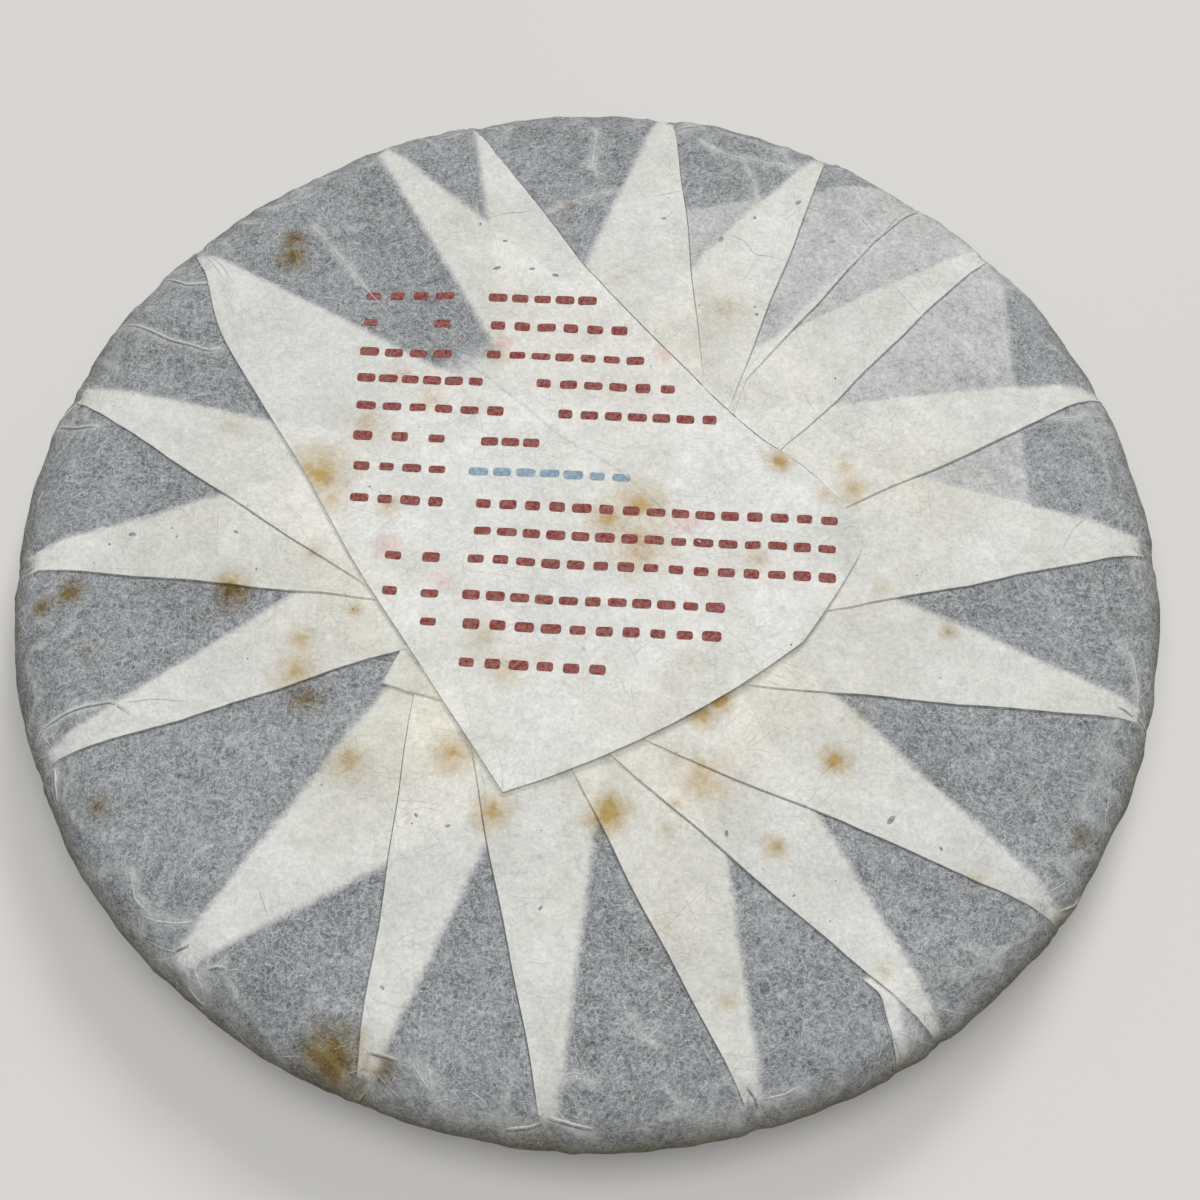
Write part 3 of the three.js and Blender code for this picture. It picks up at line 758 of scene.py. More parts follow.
def wrapper_surface():
    """Points of the wrapper by ring and column, its sharp columns, layers' depths and lifted creases."""
    rings = radius, _, _, lean = section_rings()
    angle, rise, depths, sharp = joined_gores(radius, lean)
    radius, height, relief, lean = (numbers[:, None] + 0 * angle for numbers in rings)
    back = lean <= math.pi / 2
    depths = [np.where(back, depth, -OUTSIDE) for depth in depths]
    bare = np.stack([radius * np.cos(angle), radius * np.sin(angle), height], axis=-1)
    gathers, near_tips = tip_gathers(angle, lean)
    crumpled, lifted = crumples(bare, lean, near_tips)
    creases = np.where(back, crease_nearness(bare), 0)
    lumpy = np.where(back, 1.0, smoothstep(REST_RADIUS, ROUGH_FACE_RADIUS, radius))
    rough = lumpy * leaf_lumps(bare) + crumpled + gathers
    total = relief * (rise + CREASE_RELIEF * creases) + rough
    reach = radius + outline_swell(angle, radius) + total * np.sin(lean)
    level = np.maximum(height + total * np.cos(lean), 0)
    points = np.stack([reach * np.cos(angle), reach * np.sin(angle), level], axis=-1)
    return points, sharp, depths, np.maximum(lifted, creases)


def new_object(name, data):
    """An object of the scene, at the origin."""
    thing = bpy.data.objects.new(name, data)
    bpy.context.scene.collection.objects.link(thing)
    return thing


def add_values(mesh, values):
    """Writes values to a mesh, one of each named attribute on each vertex."""
    for name, numbers in values.items():
        layer = mesh.attributes.new(name, "FLOAT", "POINT")
        layer.data.foreach_set("value", np.asarray(numbers, dtype=np.float32))


def paper_mesh(name, points, faces, values, paper, sharp_edges=None):
    """A smooth piece of paper in metres, with the values that its material reads."""
    mesh = bpy.data.meshes.new(name)
    mesh.from_pydata((points * MM).tolist(), [], faces)
    mesh.materials.append(paper)
    add_values(mesh, values)
    mesh.shade_smooth()
    if sharp_edges is not None:
        ends = np.zeros(len(mesh.edges) * 2, dtype=np.int32)
        mesh.edges.foreach_get("vertices", ends)
        layer = mesh.attributes.new("sharp_edge", "BOOLEAN", "EDGE")
        layer.data.foreach_set("value", sharp_edges(ends[0::2], ends[1::2]))
    mesh.update()
    return new_object(name, mesh)


def make_wrapper(paper):
    """The folded wrapper around the whole cake, as one closed mesh."""
    points, sharp, depths, lifted = wrapper_surface()
    rings, across = points.shape[:2]
    everything = np.vstack([points.reshape(-1, 3), [[0, 0, MIDDLE_HEIGHT], [0, 0, 0]]])
    top, bottom = rings * across, rings * across + 1
    faces = []
    for column in range(across):
        following = (column + 1) % across
        faces.append((top, column, following))
        for ring in range(rings - 1):
            a, b = ring * across + column, ring * across + following
            faces.append((a, a + across, b + across, b))
        last = (rings - 1) * across
        faces.append((bottom, last + following, last + column))
    *wedges, corner = [np.append(depth, [OUTSIDE, -OUTSIDE]) for depth in depths]
    values = paper_values(everything, wedges, corner, 0, np.append(lifted, [0, 0]), BACK_STAINS)
    values["stain"] = np.where(everything[:, 2] < STAINS_END_HEIGHT, -1.0, values["stain"])

    def along_fold(a, b):
        inside = (a < top) & (b < top)
        column, other = np.where(inside, a, 0) % across, np.where(inside, b, 0) % across
        on_back = np.maximum(a, b) // across < BACK_RINGS + SHOULDER_RINGS
        return inside & on_back & (column == other) & sharp[column]

    return paper_mesh("paper_wrapper", everything, faces, values, paper, along_fold)


def along(polyline, share):
    """Points at shares of the length of a polyline, with its corners softened."""
    corners = np.array(polyline, dtype=float)
    steps = np.hypot(*np.diff(corners, axis=0).T)
    lengths = np.insert(np.cumsum(steps), 0, 0) / steps.sum()
    even = np.linspace(0, 1, SOFT_PLACES)
    dense = np.stack([np.interp(even, lengths, corners[:, i]) for i in (0, 1)], axis=-1)
    for _ in range(SOFT_ROUNDS):
        dense[1:-1] = (dense[:-2] + 2 * dense[1:-1] + dense[2:]) / 4
    return np.stack([np.interp(share, even, dense[:, i]) for i in (0, 1)], axis=-1)


def flap_side(tip, until, rest):
    """One side of the flap: a fold of the wrapper from near the rim to a radius, and then its corners."""
    radii = np.linspace(FLAP_START_RADIUS, until, FLAP_FOLD_STEPS)
    angles = fold_angle(pleat_at(tip), radii)
    return list(zip(radii * np.cos(angles), radii * np.sin(angles))) + rest


def bow_free_edge(plan, v):
    """Bows the flap's free edge outwards between its tip and its corner, and rounds the corner."""
    tip, corner = np.array(FLAP_LEFT_END[-1]), np.array(FLAP_RIGHT_END[-1])
    length = np.hypot(*(corner - tip))
    direction = (corner - tip) / length
    outwards = np.array([direction[1], -direction[0]])
    share = np.clip((plan - tip) @ direction / length, 0, 1)
    amount = FLAP_EDGE_BOW * 4 * share * (1 - share) * smoothstep(*FLAP_BOWS, v)
    plan = plan + amount[..., None] * outwards
    inside = corner - FLAP_CORNER_INSET * direction - np.array(FLAP_CORNER_SHIFT)
    near = (1 - np.hypot(*np.moveaxis(plan - corner, -1, 0)) / FLAP_CORNER_ROUND).clip(0, 1)
    return plan + (inside - plan) * (FLAP_CORNER_PULL * near ** FLAP_CORNER_POWER)[..., None]


def flap_plan():
    """Plan of the flap by row and column, with the tuck's two columns in its middle, and its u and v."""
    v = np.linspace(0, 1, FLAP_ROWS) ** FLAP_ROW_POWER
    left = along(flap_side(FLAP_FOLDS[1], FLAP_LEFT_FOLD_END, FLAP_LEFT_END), v)
    right = along(flap_side(FLAP_FOLDS[0], FLAP_RIGHT_FOLD_END, FLAP_RIGHT_END), v)
    tuck = along(FLAP_TUCK, v)
    across = (right - left) / np.hypot(*(right - left).T)[:, None]
    left, right = left - FLAP_OVERHANG * across, right + FLAP_OVERHANG * across
    tuck_left, tuck_right = tuck - TUCK_HALF_GAP * across, tuck + TUCK_HALF_GAP * across
    share = np.linspace(0, 1, FLAP_COLUMNS)
    halves = [start[:, None] + (end - start)[:, None] * share[None, :, None]
              for start, end in ((left, tuck_left), (tuck_right, right))]
    u = np.concatenate([share / 2, 0.5 + share / 2])[None, :] + 0 * v[:, None]
    v = v[:, None] + 0 * u
    return bow_free_edge(np.concatenate(halves, axis=1), v), u, v


def flap_heights(bare, depths, u, v):
    """Height of the flap's top: on the pleats near the rim, flat further in, and lifted at its edge."""
    first, last = (pleat_at(tip) for tip in FLAP_FOLDS)
    x, y, height = np.moveaxis(bare, -1, 0)
    from_right = beside(*side_line(first, "start"), x, y)
    from_left = -beside(*side_line(last, "end"), x, y)
    share = (from_right / (from_right + from_left).clip(1, None)).clip(0, 1)
    settled = smoothstep(*FLAP_SETTLES, v)
    rise = layers_rise(depths, first, last, share) * (1 - settled) + FLAP_FLAT_RISE * settled
    rise += FLAP_RISE * smoothstep(*FLAP_RISES, v) - FLAP_BURIED * (1 - smoothstep(*FLAP_COMES_OUT, v))
    bulge = FLAP_LIFT_AT_SIDES + (1 - FLAP_LIFT_AT_SIDES) * np.sin(math.pi * u ** FLAP_LIFT_SKEW)
    lift = FLAP_LIFT * smoothstep(*FLAP_LIFTS, v) * bulge
    in_strip = smoothstep(FLAP_SIDE_STRIP, 1, np.abs(2 * u - 1))
    side = FLAP_SIDE_LIFT * in_strip * smoothstep(*FLAP_SIDE_LIFTS, v)
    tuck = TUCK_RISE * (1 - smoothstep(*TUCK_GOES, v)) * smoothstep(*TUCK_COMES, v)
    tuck = tuck * np.where(u > 0.5, 1 - TUCK_FALL * (u - 0.5) * 2, 0)
    tuck[:, FLAP_COLUMNS - 1] = 0
    return height + leaf_lumps(bare) + rise + lift + side + tuck


def sheet_faces(rows, across):
    """Faces of a thin closed sheet, whose vertices are those of its top, row by row, and its bottom."""
    sheet = rows * across
    faces = []
    for j in range(rows - 1):
        for i in range(across - 1):
            a = j * across + i
            faces.append((a, a + across, a + across + 1, a + 1))
            faces.append((sheet + a, sheet + a + 1, sheet + a + across + 1, sheet + a + across))
        left, right = j * across, (j + 1) * across - 1
        faces.append((left, left + sheet, left + sheet + across, left + across))
        faces.append((right, right + across, right + across + sheet, right + sheet))
    for near in range(across - 1):
        far = (rows - 1) * across + near
        faces.append((near, near + 1, near + 1 + sheet, near + sheet))
        faces.append((far, far + sheet, far + 1 + sheet, far + 1))
    return faces


def make_flap(paper):
    """The last corner of the paper over the middle of the back, as a thin closed sheet."""
    plan, u, v = flap_plan()
    x, y = plan[..., 0], plan[..., 1]
    radius = np.hypot(x, y)
    depths = wedge_depths(x, y, *(pleat_at(tip) for tip in FLAP_FOLDS), 1.0, 1.0)
    bare = np.stack([x, y, back_height(radius)], axis=-1)
    top = np.stack([x, y, flap_heights(bare, depths, u, v)], axis=-1).reshape(-1, 3)
    everything = np.vstack([top, top - np.array([0, 0, FLAP_THICKNESS])])
    cover = COVER_LAYERS * smoothstep(COVERED_FROM, COVERED_TO, -radius)
    depths = [depth.ravel() for depth in depths]
    values = paper_values(top, depths, -OUTSIDE, cover, 0, FLAP_STAINS, INK_SMEARS)
    values = {name: np.tile(numbers, 2) for name, numbers in values.items()}
    rows, across = x.shape

    def tuck_or_border(a, b):
        row, column = np.divmod(a % (rows * across), across)
        other_row, other_column = np.divmod(b % (rows * across), across)
        one_row, one_column = row == other_row, column == other_column
        return (one_column & np.isin(column, (0, FLAP_COLUMNS - 1, FLAP_COLUMNS, across - 1))
                | one_row & np.isin(row, (0, rows - 1)))

    return paper_mesh("paper_flap", everything, sheet_faces(rows, across), values, paper, tuck_or_border)


def make_tucked_corner(paper, top):
    """The small end of paper that shows beside the flap."""
    point, left, right = np.array(TUCKED_CORNER)
    u, v = np.meshgrid(np.linspace(0, 1, TUCKED_ROWS), np.linspace(0, 1, TUCKED_ROWS))
    down = (TUCKED_BLUNT + (1 - TUCKED_BLUNT) * v)[..., None]
    plan = point + ((left - point) + (right - left) * u[..., None]) * down
    lying = np.array([[top(x, y) for x, y in row] for row in plan])
    heights = lying + TUCKED_RISE + TUCKED_LIFT * (1 - u) * v
    upper = np.concatenate([plan, heights[..., None]], axis=-1).reshape(-1, 3)
    everything = np.vstack([upper, upper - np.array([0, 0, TUCKED_THICKNESS])])
    values = single_layer_values(everything, OUTSIDE, 0)
    faces = sheet_faces(TUCKED_ROWS, TUCKED_ROWS)
    return paper_mesh("paper_tucked_corner", everything, faces, values, paper)


def surface_finder(*things):
    """A function that gives the height of the topmost surface over a plan point, or None."""
    trees = [BVHTree.FromObject(thing, bpy.context.evaluated_depsgraph_get()) for thing in things]

    def top(x, y):
        start = Vector((x * MM, y * MM, HIGH_ABOVE))
        hits = [tree.ray_cast(start, Vector((0, 0, -1)))[0] for tree in trees]
        return max((hit.z / MM for hit in hits if hit), default=None)

    return top


class Nodes:
    """Adds nodes to a tree. An input gets a constant, or another node's output that is linked to it."""

    def __init__(self, tree):
        self.tree = tree

    def feed(self, node, inputs):
        """Gives a node's inputs their constants and links."""
        for name, value in inputs.items():
            if isinstance(value, bpy.types.NodeSocket):
                self.tree.links.new(value, node.inputs[name])
            else:
                node.inputs[name].default_value = value

    def add(self, kind, inputs=None, **settings):
        """A new node with its settings and inputs."""
        node = self.tree.nodes.new(kind)
        for name, value in settings.items():
            setattr(node, name, value)
        self.feed(node, inputs or {})
        return node

    def grow(self, kind, inputs=None, **settings):
        """The first output of a new Geometry Nodes node."""
        return self.add("GeometryNode" + kind, inputs, **settings).outputs[0]

    def named(self, name, kind="FLOAT_VECTOR"):
        """The values of a named attribute, in Geometry Nodes."""
        return self.grow("InputNamedAttribute", {"Name": name}, data_type=kind)

    def on_points(self, points, shape):
        """A shape set on every point, with the point's own size and turn, in Geometry Nodes."""
        inputs = {"Points": points, "Instance": shape, "Scale": self.named("own_size"),
                  "Rotation": self.named("own_turn")}
        return self.grow("InstanceOnPoints", inputs)

    def attribute(self, name):
        """The values of a named attribute, in a material."""
        return self.add("ShaderNodeAttribute", attribute_name=name).outputs["Fac"]

    def math(self, operation, *values, clamp=False):
        """The result of a Math node."""
        inputs = dict(enumerate(values))
        return self.add("ShaderNodeMath", inputs, operation=operation, use_clamp=clamp).outputs[0]

    def times(self, a, b):
        """Two values multiplied."""
        return self.math("MULTIPLY", a, b)

    def plus(self, a, b):
        """Two values added."""
        return self.math("ADD", a, b)

    def mix(self, share, base, color, blend="MIX"):
        """A base colour mixed with another by a share."""
        inputs = {0: share, 6: base, 7: color}
        return self.add("ShaderNodeMix", inputs, data_type="RGBA", blend_type=blend).outputs[2]

    def tint(self, share, base, color):
        """A base colour multiplied with another by a share."""
        return self.mix(share, base, color, "MULTIPLY")

    def noise(self, place, scale, detail, roughness=0.5, distortion=0.0):
        """A Noise Texture's value around 0.5."""
        inputs = {"Vector": place, "Scale": scale, "Detail": detail, "Roughness": roughness,
                  "Distortion": distortion}
        return self.add("ShaderNodeTexNoise", inputs).outputs["Fac"]

    def ranged(self, value, low, high, to_low=0.0, to_high=1.0, curve="LINEAR"):
        """A value spread from one range over another, and clamped."""
        inputs = {"Value": value, "From Min": low, "From Max": high, "To Min": to_low, "To Max": to_high}
        return self.add("ShaderNodeMapRange", inputs, interpolation_type=curve).outputs["Result"]

    def eased(self, value, low, high):
        """A value spread from a range over 0 to 1, with smooth ends."""
        return self.ranged(value, low, high, curve="SMOOTHSTEP")

    def pattern(self, place, noise, spread):
        """A noise pattern, spread over a range."""
        return self.ranged(self.noise(place, *noise), *spread)

    def dots(self, place, scale, edge, chosen):
        """Round dots in some cells of an irregular grid."""
        cells = self.add("ShaderNodeTexVoronoi", {"Vector": place, "Scale": scale})
        draw = self.add("ShaderNodeSeparateColor", {"Color": cells.outputs["Color"]}).outputs[0]
        dot = self.ranged(cells.outputs["Distance"], *edge, 1.0, 0.0)
        return self.times(dot, self.ranged(draw, *chosen))

    def group(self, tree, place, **inputs):
        """The output of a node group that reads a place."""
        return self.add("ShaderNodeGroup", {"Place": place, **inputs}, node_tree=tree).outputs[0]

    def bump(self, height, strength, distance):
        """A normal that follows fine relief."""
        inputs = {"Height": height, "Strength": strength, "Distance": distance}
        return self.add("ShaderNodeBump", inputs).outputs["Normal"]


def new_tree(kind, name, inputs, output):
    """A node tree's nodes, with its named inputs and its end. Each socket is given as its name and kind."""
    tree = bpy.data.node_groups.new(name, kind)
    for socket, socket_kind in inputs.items():
        tree.interface.new_socket(socket, in_out="INPUT", socket_type="NodeSocket" + socket_kind)
    tree.interface.new_socket(output[0], in_out="OUTPUT", socket_type="NodeSocket" + output[1])
    nodes = Nodes(tree)
    return nodes, nodes.add("NodeGroupInput").outputs, nodes.add("NodeGroupOutput")


def finish_growing(nodes, end, geometry, material):
    """Ends a Geometry Nodes tree: what it made becomes real and gets its material."""
    real = nodes.grow("RealizeInstances", {"Geometry": geometry})
    nodes.feed(end, {0: nodes.grow("SetMaterial", {"Geometry": real, "Material": material})})
    return nodes.tree


def bar_tree():
    """Geometry Nodes: a rounded bar of ink on every point, with the point's own width, height and turn."""
    sockets = {"Points": "Geometry", "Corner Radius": "Float", "Thickness": "Float", "Ink": "Material"}
    nodes, start, end = new_tree("GeometryNodeTree", "ink_bars", sockets, ("Bars", "Geometry"))
    size = {"Width": BAR_WIDTH * MM, "Height": BAR_HEIGHT * MM}
    outline = nodes.grow("CurvePrimitiveQuadrilateral", size)
    inputs = {"Curve": outline, "Count": BAR_CORNER_POINTS, "Radius": start["Corner Radius"]}
    rounded = nodes.grow("FilletCurve", inputs, mode="POLY")
    filled = nodes.grow("FillCurve", {"Curve": rounded}, mode="NGONS")
    halved = nodes.grow("SubdivideMesh", {"Mesh": filled})
    raised = nodes.grow("ExtrudeMesh", {"Mesh": halved, "Offset Scale": start["Thickness"]})
    both = nodes.add("GeometryNodeJoinGeometry", {"Geometry": raised})
    nodes.feed(both, {"Geometry": nodes.grow("FlipFaces", {"Mesh": halved})})
    closed = nodes.grow("MergeByDistance", {"Geometry": both.outputs[0], "Distance": WELD_DISTANCE})
    return finish_growing(nodes, end, nodes.on_points(start["Points"], closed), start["Ink"])


def crease_tree():
    """Geometry Nodes: a thin ridge along every line, with the line's own thickness at each point."""
    sockets = {"Lines": "Geometry", "Radius": "Float", "Paper": "Material"}
    nodes, start, end = new_tree("GeometryNodeTree", "crease_ridges", sockets, ("Ridges", "Geometry"))
    curve = nodes.grow("MeshToCurve", {"Mesh": start["Lines"]})
    section = nodes.grow("CurvePrimitiveCircle", {"Resolution": CREASE_SIDES, "Radius": start["Radius"]})
    inputs = {"Curve": curve, "Profile Curve": section, "Scale": nodes.named("thin", "FLOAT"),
              "Fill Caps": True}
    smooth = nodes.grow("SetShadeSmooth", {"Geometry": nodes.grow("CurveToMesh", inputs)})
    return finish_growing(nodes, end, smooth, start["Paper"])


def crumb_tree():
    """Geometry Nodes: a flat crumb on every point, with the point's own size and turn."""
    sockets = {"Points": "Geometry", "Shape": "Vector", "Leaf": "Material"}
    nodes, start, end = new_tree("GeometryNodeTree", "leaf_crumbs", sockets, ("Crumbs", "Geometry"))
    ball = nodes.grow("MeshIcoSphere", {"Radius": MM, "Subdivisions": 1})
    flat = nodes.grow("Transform", {"Geometry": ball, "Scale": start["Shape"]})
    return finish_growing(nodes, end, nodes.on_points(start["Points"], flat), start["Leaf"])


def grown(name, mesh, tree, inputs):
    """The plain mesh that a Geometry Nodes tree grows on a mesh, as an object of its own."""
    seed = new_object(name + "_seed", mesh)
    modifier = seed.modifiers.new("grow", "NODES")
    modifier.node_group = tree
    for item in tree.interface.items_tree:
        if item.in_out == "INPUT" and item.name in inputs:
            modifier[item.identifier] = inputs[item.name]
    evaluated = seed.evaluated_get(bpy.context.evaluated_depsgraph_get())
    result = bpy.data.meshes.new_from_object(evaluated)
    bpy.data.objects.remove(seed)
    result.name = name
    return new_object(name, result)


def marked_points(name, places, sizes, turns):
    """Loose points in metres, each with its own size and turn."""
    mesh = bpy.data.meshes.new(name)
    mesh.from_pydata([[number * MM for number in place] for place in places], [], [])
    for attribute, vectors in (("own_size", sizes), ("own_turn", turns)):
        layer = mesh.attributes.new(attribute, "FLOAT_VECTOR", "POINT")
        layer.data.foreach_set("vector", np.asarray(vectors, dtype=np.float32).ravel())
    return mesh


def print_bars(rows, seed):
    """Plan places, widths, heights and slopes of the bars of a print."""
    rng = random.Random(seed)
    bars = []
    for left_y, spans in rows:
        down = (PRINT_TOP - left_y) / (PRINT_TOP - PRINT_BOTTOM)
        slope = PRINT_SLOPE_TOP + (PRINT_SLOPE_BOTTOM - PRINT_SLOPE_TOP) * down
        for start, end in spans:
            count = max(1, round((end - start) / BAR_PITCH))
            pitch = (end - start) / count
            for i in range(count):
                x = start + pitch * (i + 0.5)
                width, height = BAR_WIDTH * rng.uniform(*BAR_WIDTHS), BAR_HEIGHT * rng.uniform(*BAR_HEIGHTS)
                bars.append((x, left_y + slope * (x - PRINT_LEFT), width, height, slope))
    return bars


def make_print(name, rows, seed, ink, flap_top, top):
    """Bars of ink that lie on the flap, only where they are wholly on it."""
    bars = []
    for x, y, width, height, slope in print_bars(rows, seed):
        ends = [(x + dx * (width / 2 + INK_CLEARANCE), y + dy * (height / 2 + INK_CLEARANCE / 2))
                for dx in (-1, 1) for dy in (-1, 1)]
        if all(flap_top(*point) is not None for point in ends):
            bars.append((x, y, width, height, slope))
    places = [(x, y, 0) for x, y, _, _, _ in bars]
    sizes = [(width / BAR_WIDTH, height / BAR_HEIGHT, 1) for _, _, width, height, _ in bars]
    turns = [(0, 0, math.atan(slope)) for _, _, _, _, slope in bars]
    inputs = {"Corner Radius": BAR_ROUND * MM, "Thickness": BAR_THICKNESS * MM, "Ink": ink}
    thing = grown(name, marked_points(name + "_places", places, sizes, turns), bar_tree(), inputs)
    for vertex in thing.data.vertices:
        x, y, z = vertex.co
        vertex.co.z = (top(x / MM, y / MM) - BAR_SINK) * MM + z
    thing.data.update()
    return thing


def make_crumbs(leaf_crumb, top):
    """Crumbs of leaf caught in the paper of the back."""
    rng = random.Random(CRUMB_SEED)
    crumbs = list(SPECKS)
    for _ in range(SMALL_SPECKS):
        turn = rng.uniform(0, 2 * math.pi)
        out = SMALL_SPECKS_REACH * math.sqrt(rng.uniform(*SMALL_SPECKS_SPREAD))
        crumbs.append((out * math.cos(turn), out * math.sin(turn), rng.uniform(*SMALL_SPECK_RADII)))
    sizes, turns = [], []
    for _, _, radius in crumbs:
        sizes.append((radius * rng.uniform(*SPECK_STRETCH), radius, radius))
        turns.append((0, 0, rng.uniform(0, 2 * math.pi)))
    mesh = marked_points("crumb_places", [(x, y, top(x, y)) for x, y, _ in crumbs], sizes, turns)
    return grown("leaf_crumbs", mesh, crumb_tree(), {"Shape": SPECK_SHAPE, "Leaf": leaf_crumb})


def place_on_rim(tree, turn, lean):
    """A place just inside the paper's surface, by its turn round the cake and its lean over the rim."""
    level = Vector((math.cos(turn), math.sin(turn), 0))
    origin = (level * SHOULDER_RADIUS + Vector((0, 0, RIM_HEIGHT))) * MM
    place, outwards, _, _ = tree.ray_cast(origin, level * math.sin(lean) + Vector((0, 0, math.cos(lean))))
    return (place - outwards * CREASE_SINK * MM) / MM


def rim_crease_paths(wrapper, rng):
    """Paths of the short creases that fan out from the pleats' tips and run along the rim."""
    tree = BVHTree.FromObject(wrapper, bpy.context.evaluated_depsgraph_get())
    starts = []
    for pleat in PLEATS:
        for i in range(TIP_CREASES):
            heading = (i - (TIP_CREASES - 1) / 2) * TIP_CREASE_FAN
            heading += rng.uniform(-TIP_CREASE_SPREAD, TIP_CREASE_SPREAD)
            starts.append((pleat.tip, TIP_CREASE_LEAN, heading, rng.uniform(*TIP_CREASE_LENGTHS)))
    for _ in range(RIM_CREASES):
        place = rng.uniform(0, 360), rng.uniform(*RIM_CREASE_LEANS)
        heading = rng.uniform(*RIM_CREASE_HEADINGS) * rng.choice((-1, 1))
        starts.append((*place, heading, rng.uniform(*TIP_CREASE_LENGTHS)))
    paths = []
    for angle, lean, heading, length in starts:
        path = []
        bend = rng.uniform(-RIM_CREASE_BEND, RIM_CREASE_BEND)
        out, aside = math.radians(lean) * LEAN_RADIUS, math.radians(angle) * RIM_RADIUS
        steps = max(FEWEST_STEPS, round(length / CREASE_STEP))
        for _ in range(steps + 1):
            path.append(place_on_rim(tree, aside / RIM_RADIUS, out / LEAN_RADIUS))
            heading += bend / steps
            out += length / steps * math.cos(math.radians(heading))
            aside += length / steps * math.sin(math.radians(heading))
        paths.append(path)
    return paths


def draped(line, top):
    """A line in plan laid on the paper, just inside its surface, in millimetres."""
    length = sum(math.dist(a, b) for a, b in zip(line, line[1:]))
    path = []
    count = max(FEWEST_STEPS + 1, round(length / CREASE_STEP))
    for x, y in along(line, np.linspace(0, 1, count)):
        while top(x, y) is None:
            x, y = x * DRAPE_SHRINK, y * DRAPE_SHRINK
        path.append((x, y, top(x, y) - CREASE_SINK))
    return path


def beside_line(line, distance):
    """A line in plan moved to its left."""
    points = np.array(line, dtype=float)
    heading = np.gradient(points, axis=0)
    heading /= np.hypot(*heading.T)[:, None]
    return [tuple(p) for p in points + distance * np.stack([-heading[:, 1], heading[:, 0]], axis=-1)]


def pleat_shadow_lines(flap_top):
    """The painted shadow line at the foot of every sharp fold, in plan, from the rim in as far as the fold
    shows.
    """
    radii = np.linspace(PLEAT_SHADOW_START, FROZEN_RADIUS, PLEAT_SHADOW_STEPS)
    lines = []
    for pleat, angle, visible in zip(*fold_angles(radii)):
        turn = angle + (PLEAT_SHADOW_OUT if pleat.fold == "end" else -PLEAT_SHADOW_OUT) / radii
        line = []
        for place, share in zip(zip(radii * np.cos(turn), radii * np.sin(turn)), visible):
            if share < 0.5 or flap_top(*place) is not None:
                break
            line.append(place)
        if len(line) >= FEWEST_PLACES:
            lines.append(line)
    return lines


def crease_paths(wrapper, top, flap_top, rng):
    """Every crease, and every line of painted shadow at a fold, as its path and its look."""
    paths = [(draped(line, top), RIDGE_LOOK) for line in RIDGES]
    paths += [(path, RIM_CREASE_LOOK) for path in rim_crease_paths(wrapper, rng)]
    for line in FOLDS:
        # Each small fold: a dark line of painted shadow, and its pale side.
        paths.append((draped(line, top), FOLD_SHADOW_LOOK))
        paths.append((draped(beside_line(line, FOLD_SIDE), top), FOLD_PALE_LOOK))
    # Lines of painted shadow at the foot of every sharp fold and beside the flap's right side.
    paths += [(draped(line, top), PLEAT_SHADOW_LOOK) for line in pleat_shadow_lines(flap_top)]
    flap_edge_shadow = flap_side(FLAP_FOLDS[0], FLAP_RIGHT_FOLD_END, FLAP_RIGHT_END[:-1])
    paths.append((draped(beside_line(flap_edge_shadow, FLAP_EDGE_SHADOW_OUT), top), FLAP_EDGE_SHADOW_LOOK))
    return paths


def make_creases(paper, wrapper, top, flap_top):
    """Creases and painted fold shadows as fine ridges half sunk in the paper, thinning out at their ends.
    """
    points, edges, thin, lifts = [], [], [], []
    rng = random.Random(CREASE_SEED)
    for path, (width, lift) in crease_paths(wrapper, top, flap_top, rng):
        first, count = len(points), len(path)
        for i, place in enumerate(path):
            points.append([number * MM for number in place])
            middle = 1 - abs(2 * i / (count - 1) - 1) ** CREASE_TAPER
            full = CREASE_END_WIDTH + (1 - CREASE_END_WIDTH) * middle * rng.uniform(*CREASE_WIDTHS)
            thin.append(width * full)
            lifts.append(lift)
        edges += [(first + i, first + i + 1) for i in range(count - 1)]
    mesh = bpy.data.meshes.new("crease_lines")
    mesh.from_pydata(points, edges, [])
    add_values(mesh, {"thin": thin, "crease_lift_and_shadow": lifts})
    thing = grown("paper_creases", mesh, crease_tree(), {"Radius": CREASE_RADIUS * MM, "Paper": paper})
    # The crease's lift, less than nothing where it is a dark line of painted shadow.
    lifted = np.zeros(len(thing.data.vertices), dtype=np.float32)
    thing.data.attributes["crease_lift_and_shadow"].data.foreach_get("value", lifted)
    places = np.array([vertex.co[:] for vertex in thing.data.vertices]) / MM
    add_values(thing.data, single_layer_values(places, CREASE_DEPTH, lifted))
    return thing


def fibre_group():
    """Fibres of handmade paper in three directions, as lines where a stretched noise crosses its middle."""
    sockets = {"Place": "Vector", "Scale": "Float", "Width": "Float"}
    nodes, start, end = new_tree("ShaderNodeTree", "paper_fibres", sockets, ("Fibres", "Float"))
    lines = []
    for turn in FIBRE_TURNS:
        inputs = {"Vector": start["Place"], "Rotation": (0, 0, math.radians(turn)),
                  "Scale": (1, FIBRE_STRETCH, 1)}
        turned = nodes.add("ShaderNodeMapping", inputs, vector_type="TEXTURE").outputs[0]
        value = nodes.noise(turned, start["Scale"], FIBRE_DETAIL, distortion=FIBRE_DISTORTION)
        away = nodes.math("ABSOLUTE", nodes.math("SUBTRACT", value, 0.5))
        lines.append(nodes.math("SUBTRACT", 1.0, nodes.math("DIVIDE", away, start["Width"]), clamp=True))
    nodes.feed(end, {0: nodes.math("MAXIMUM", nodes.math("MAXIMUM", lines[0], lines[1]), lines[2])})
    return nodes.tree


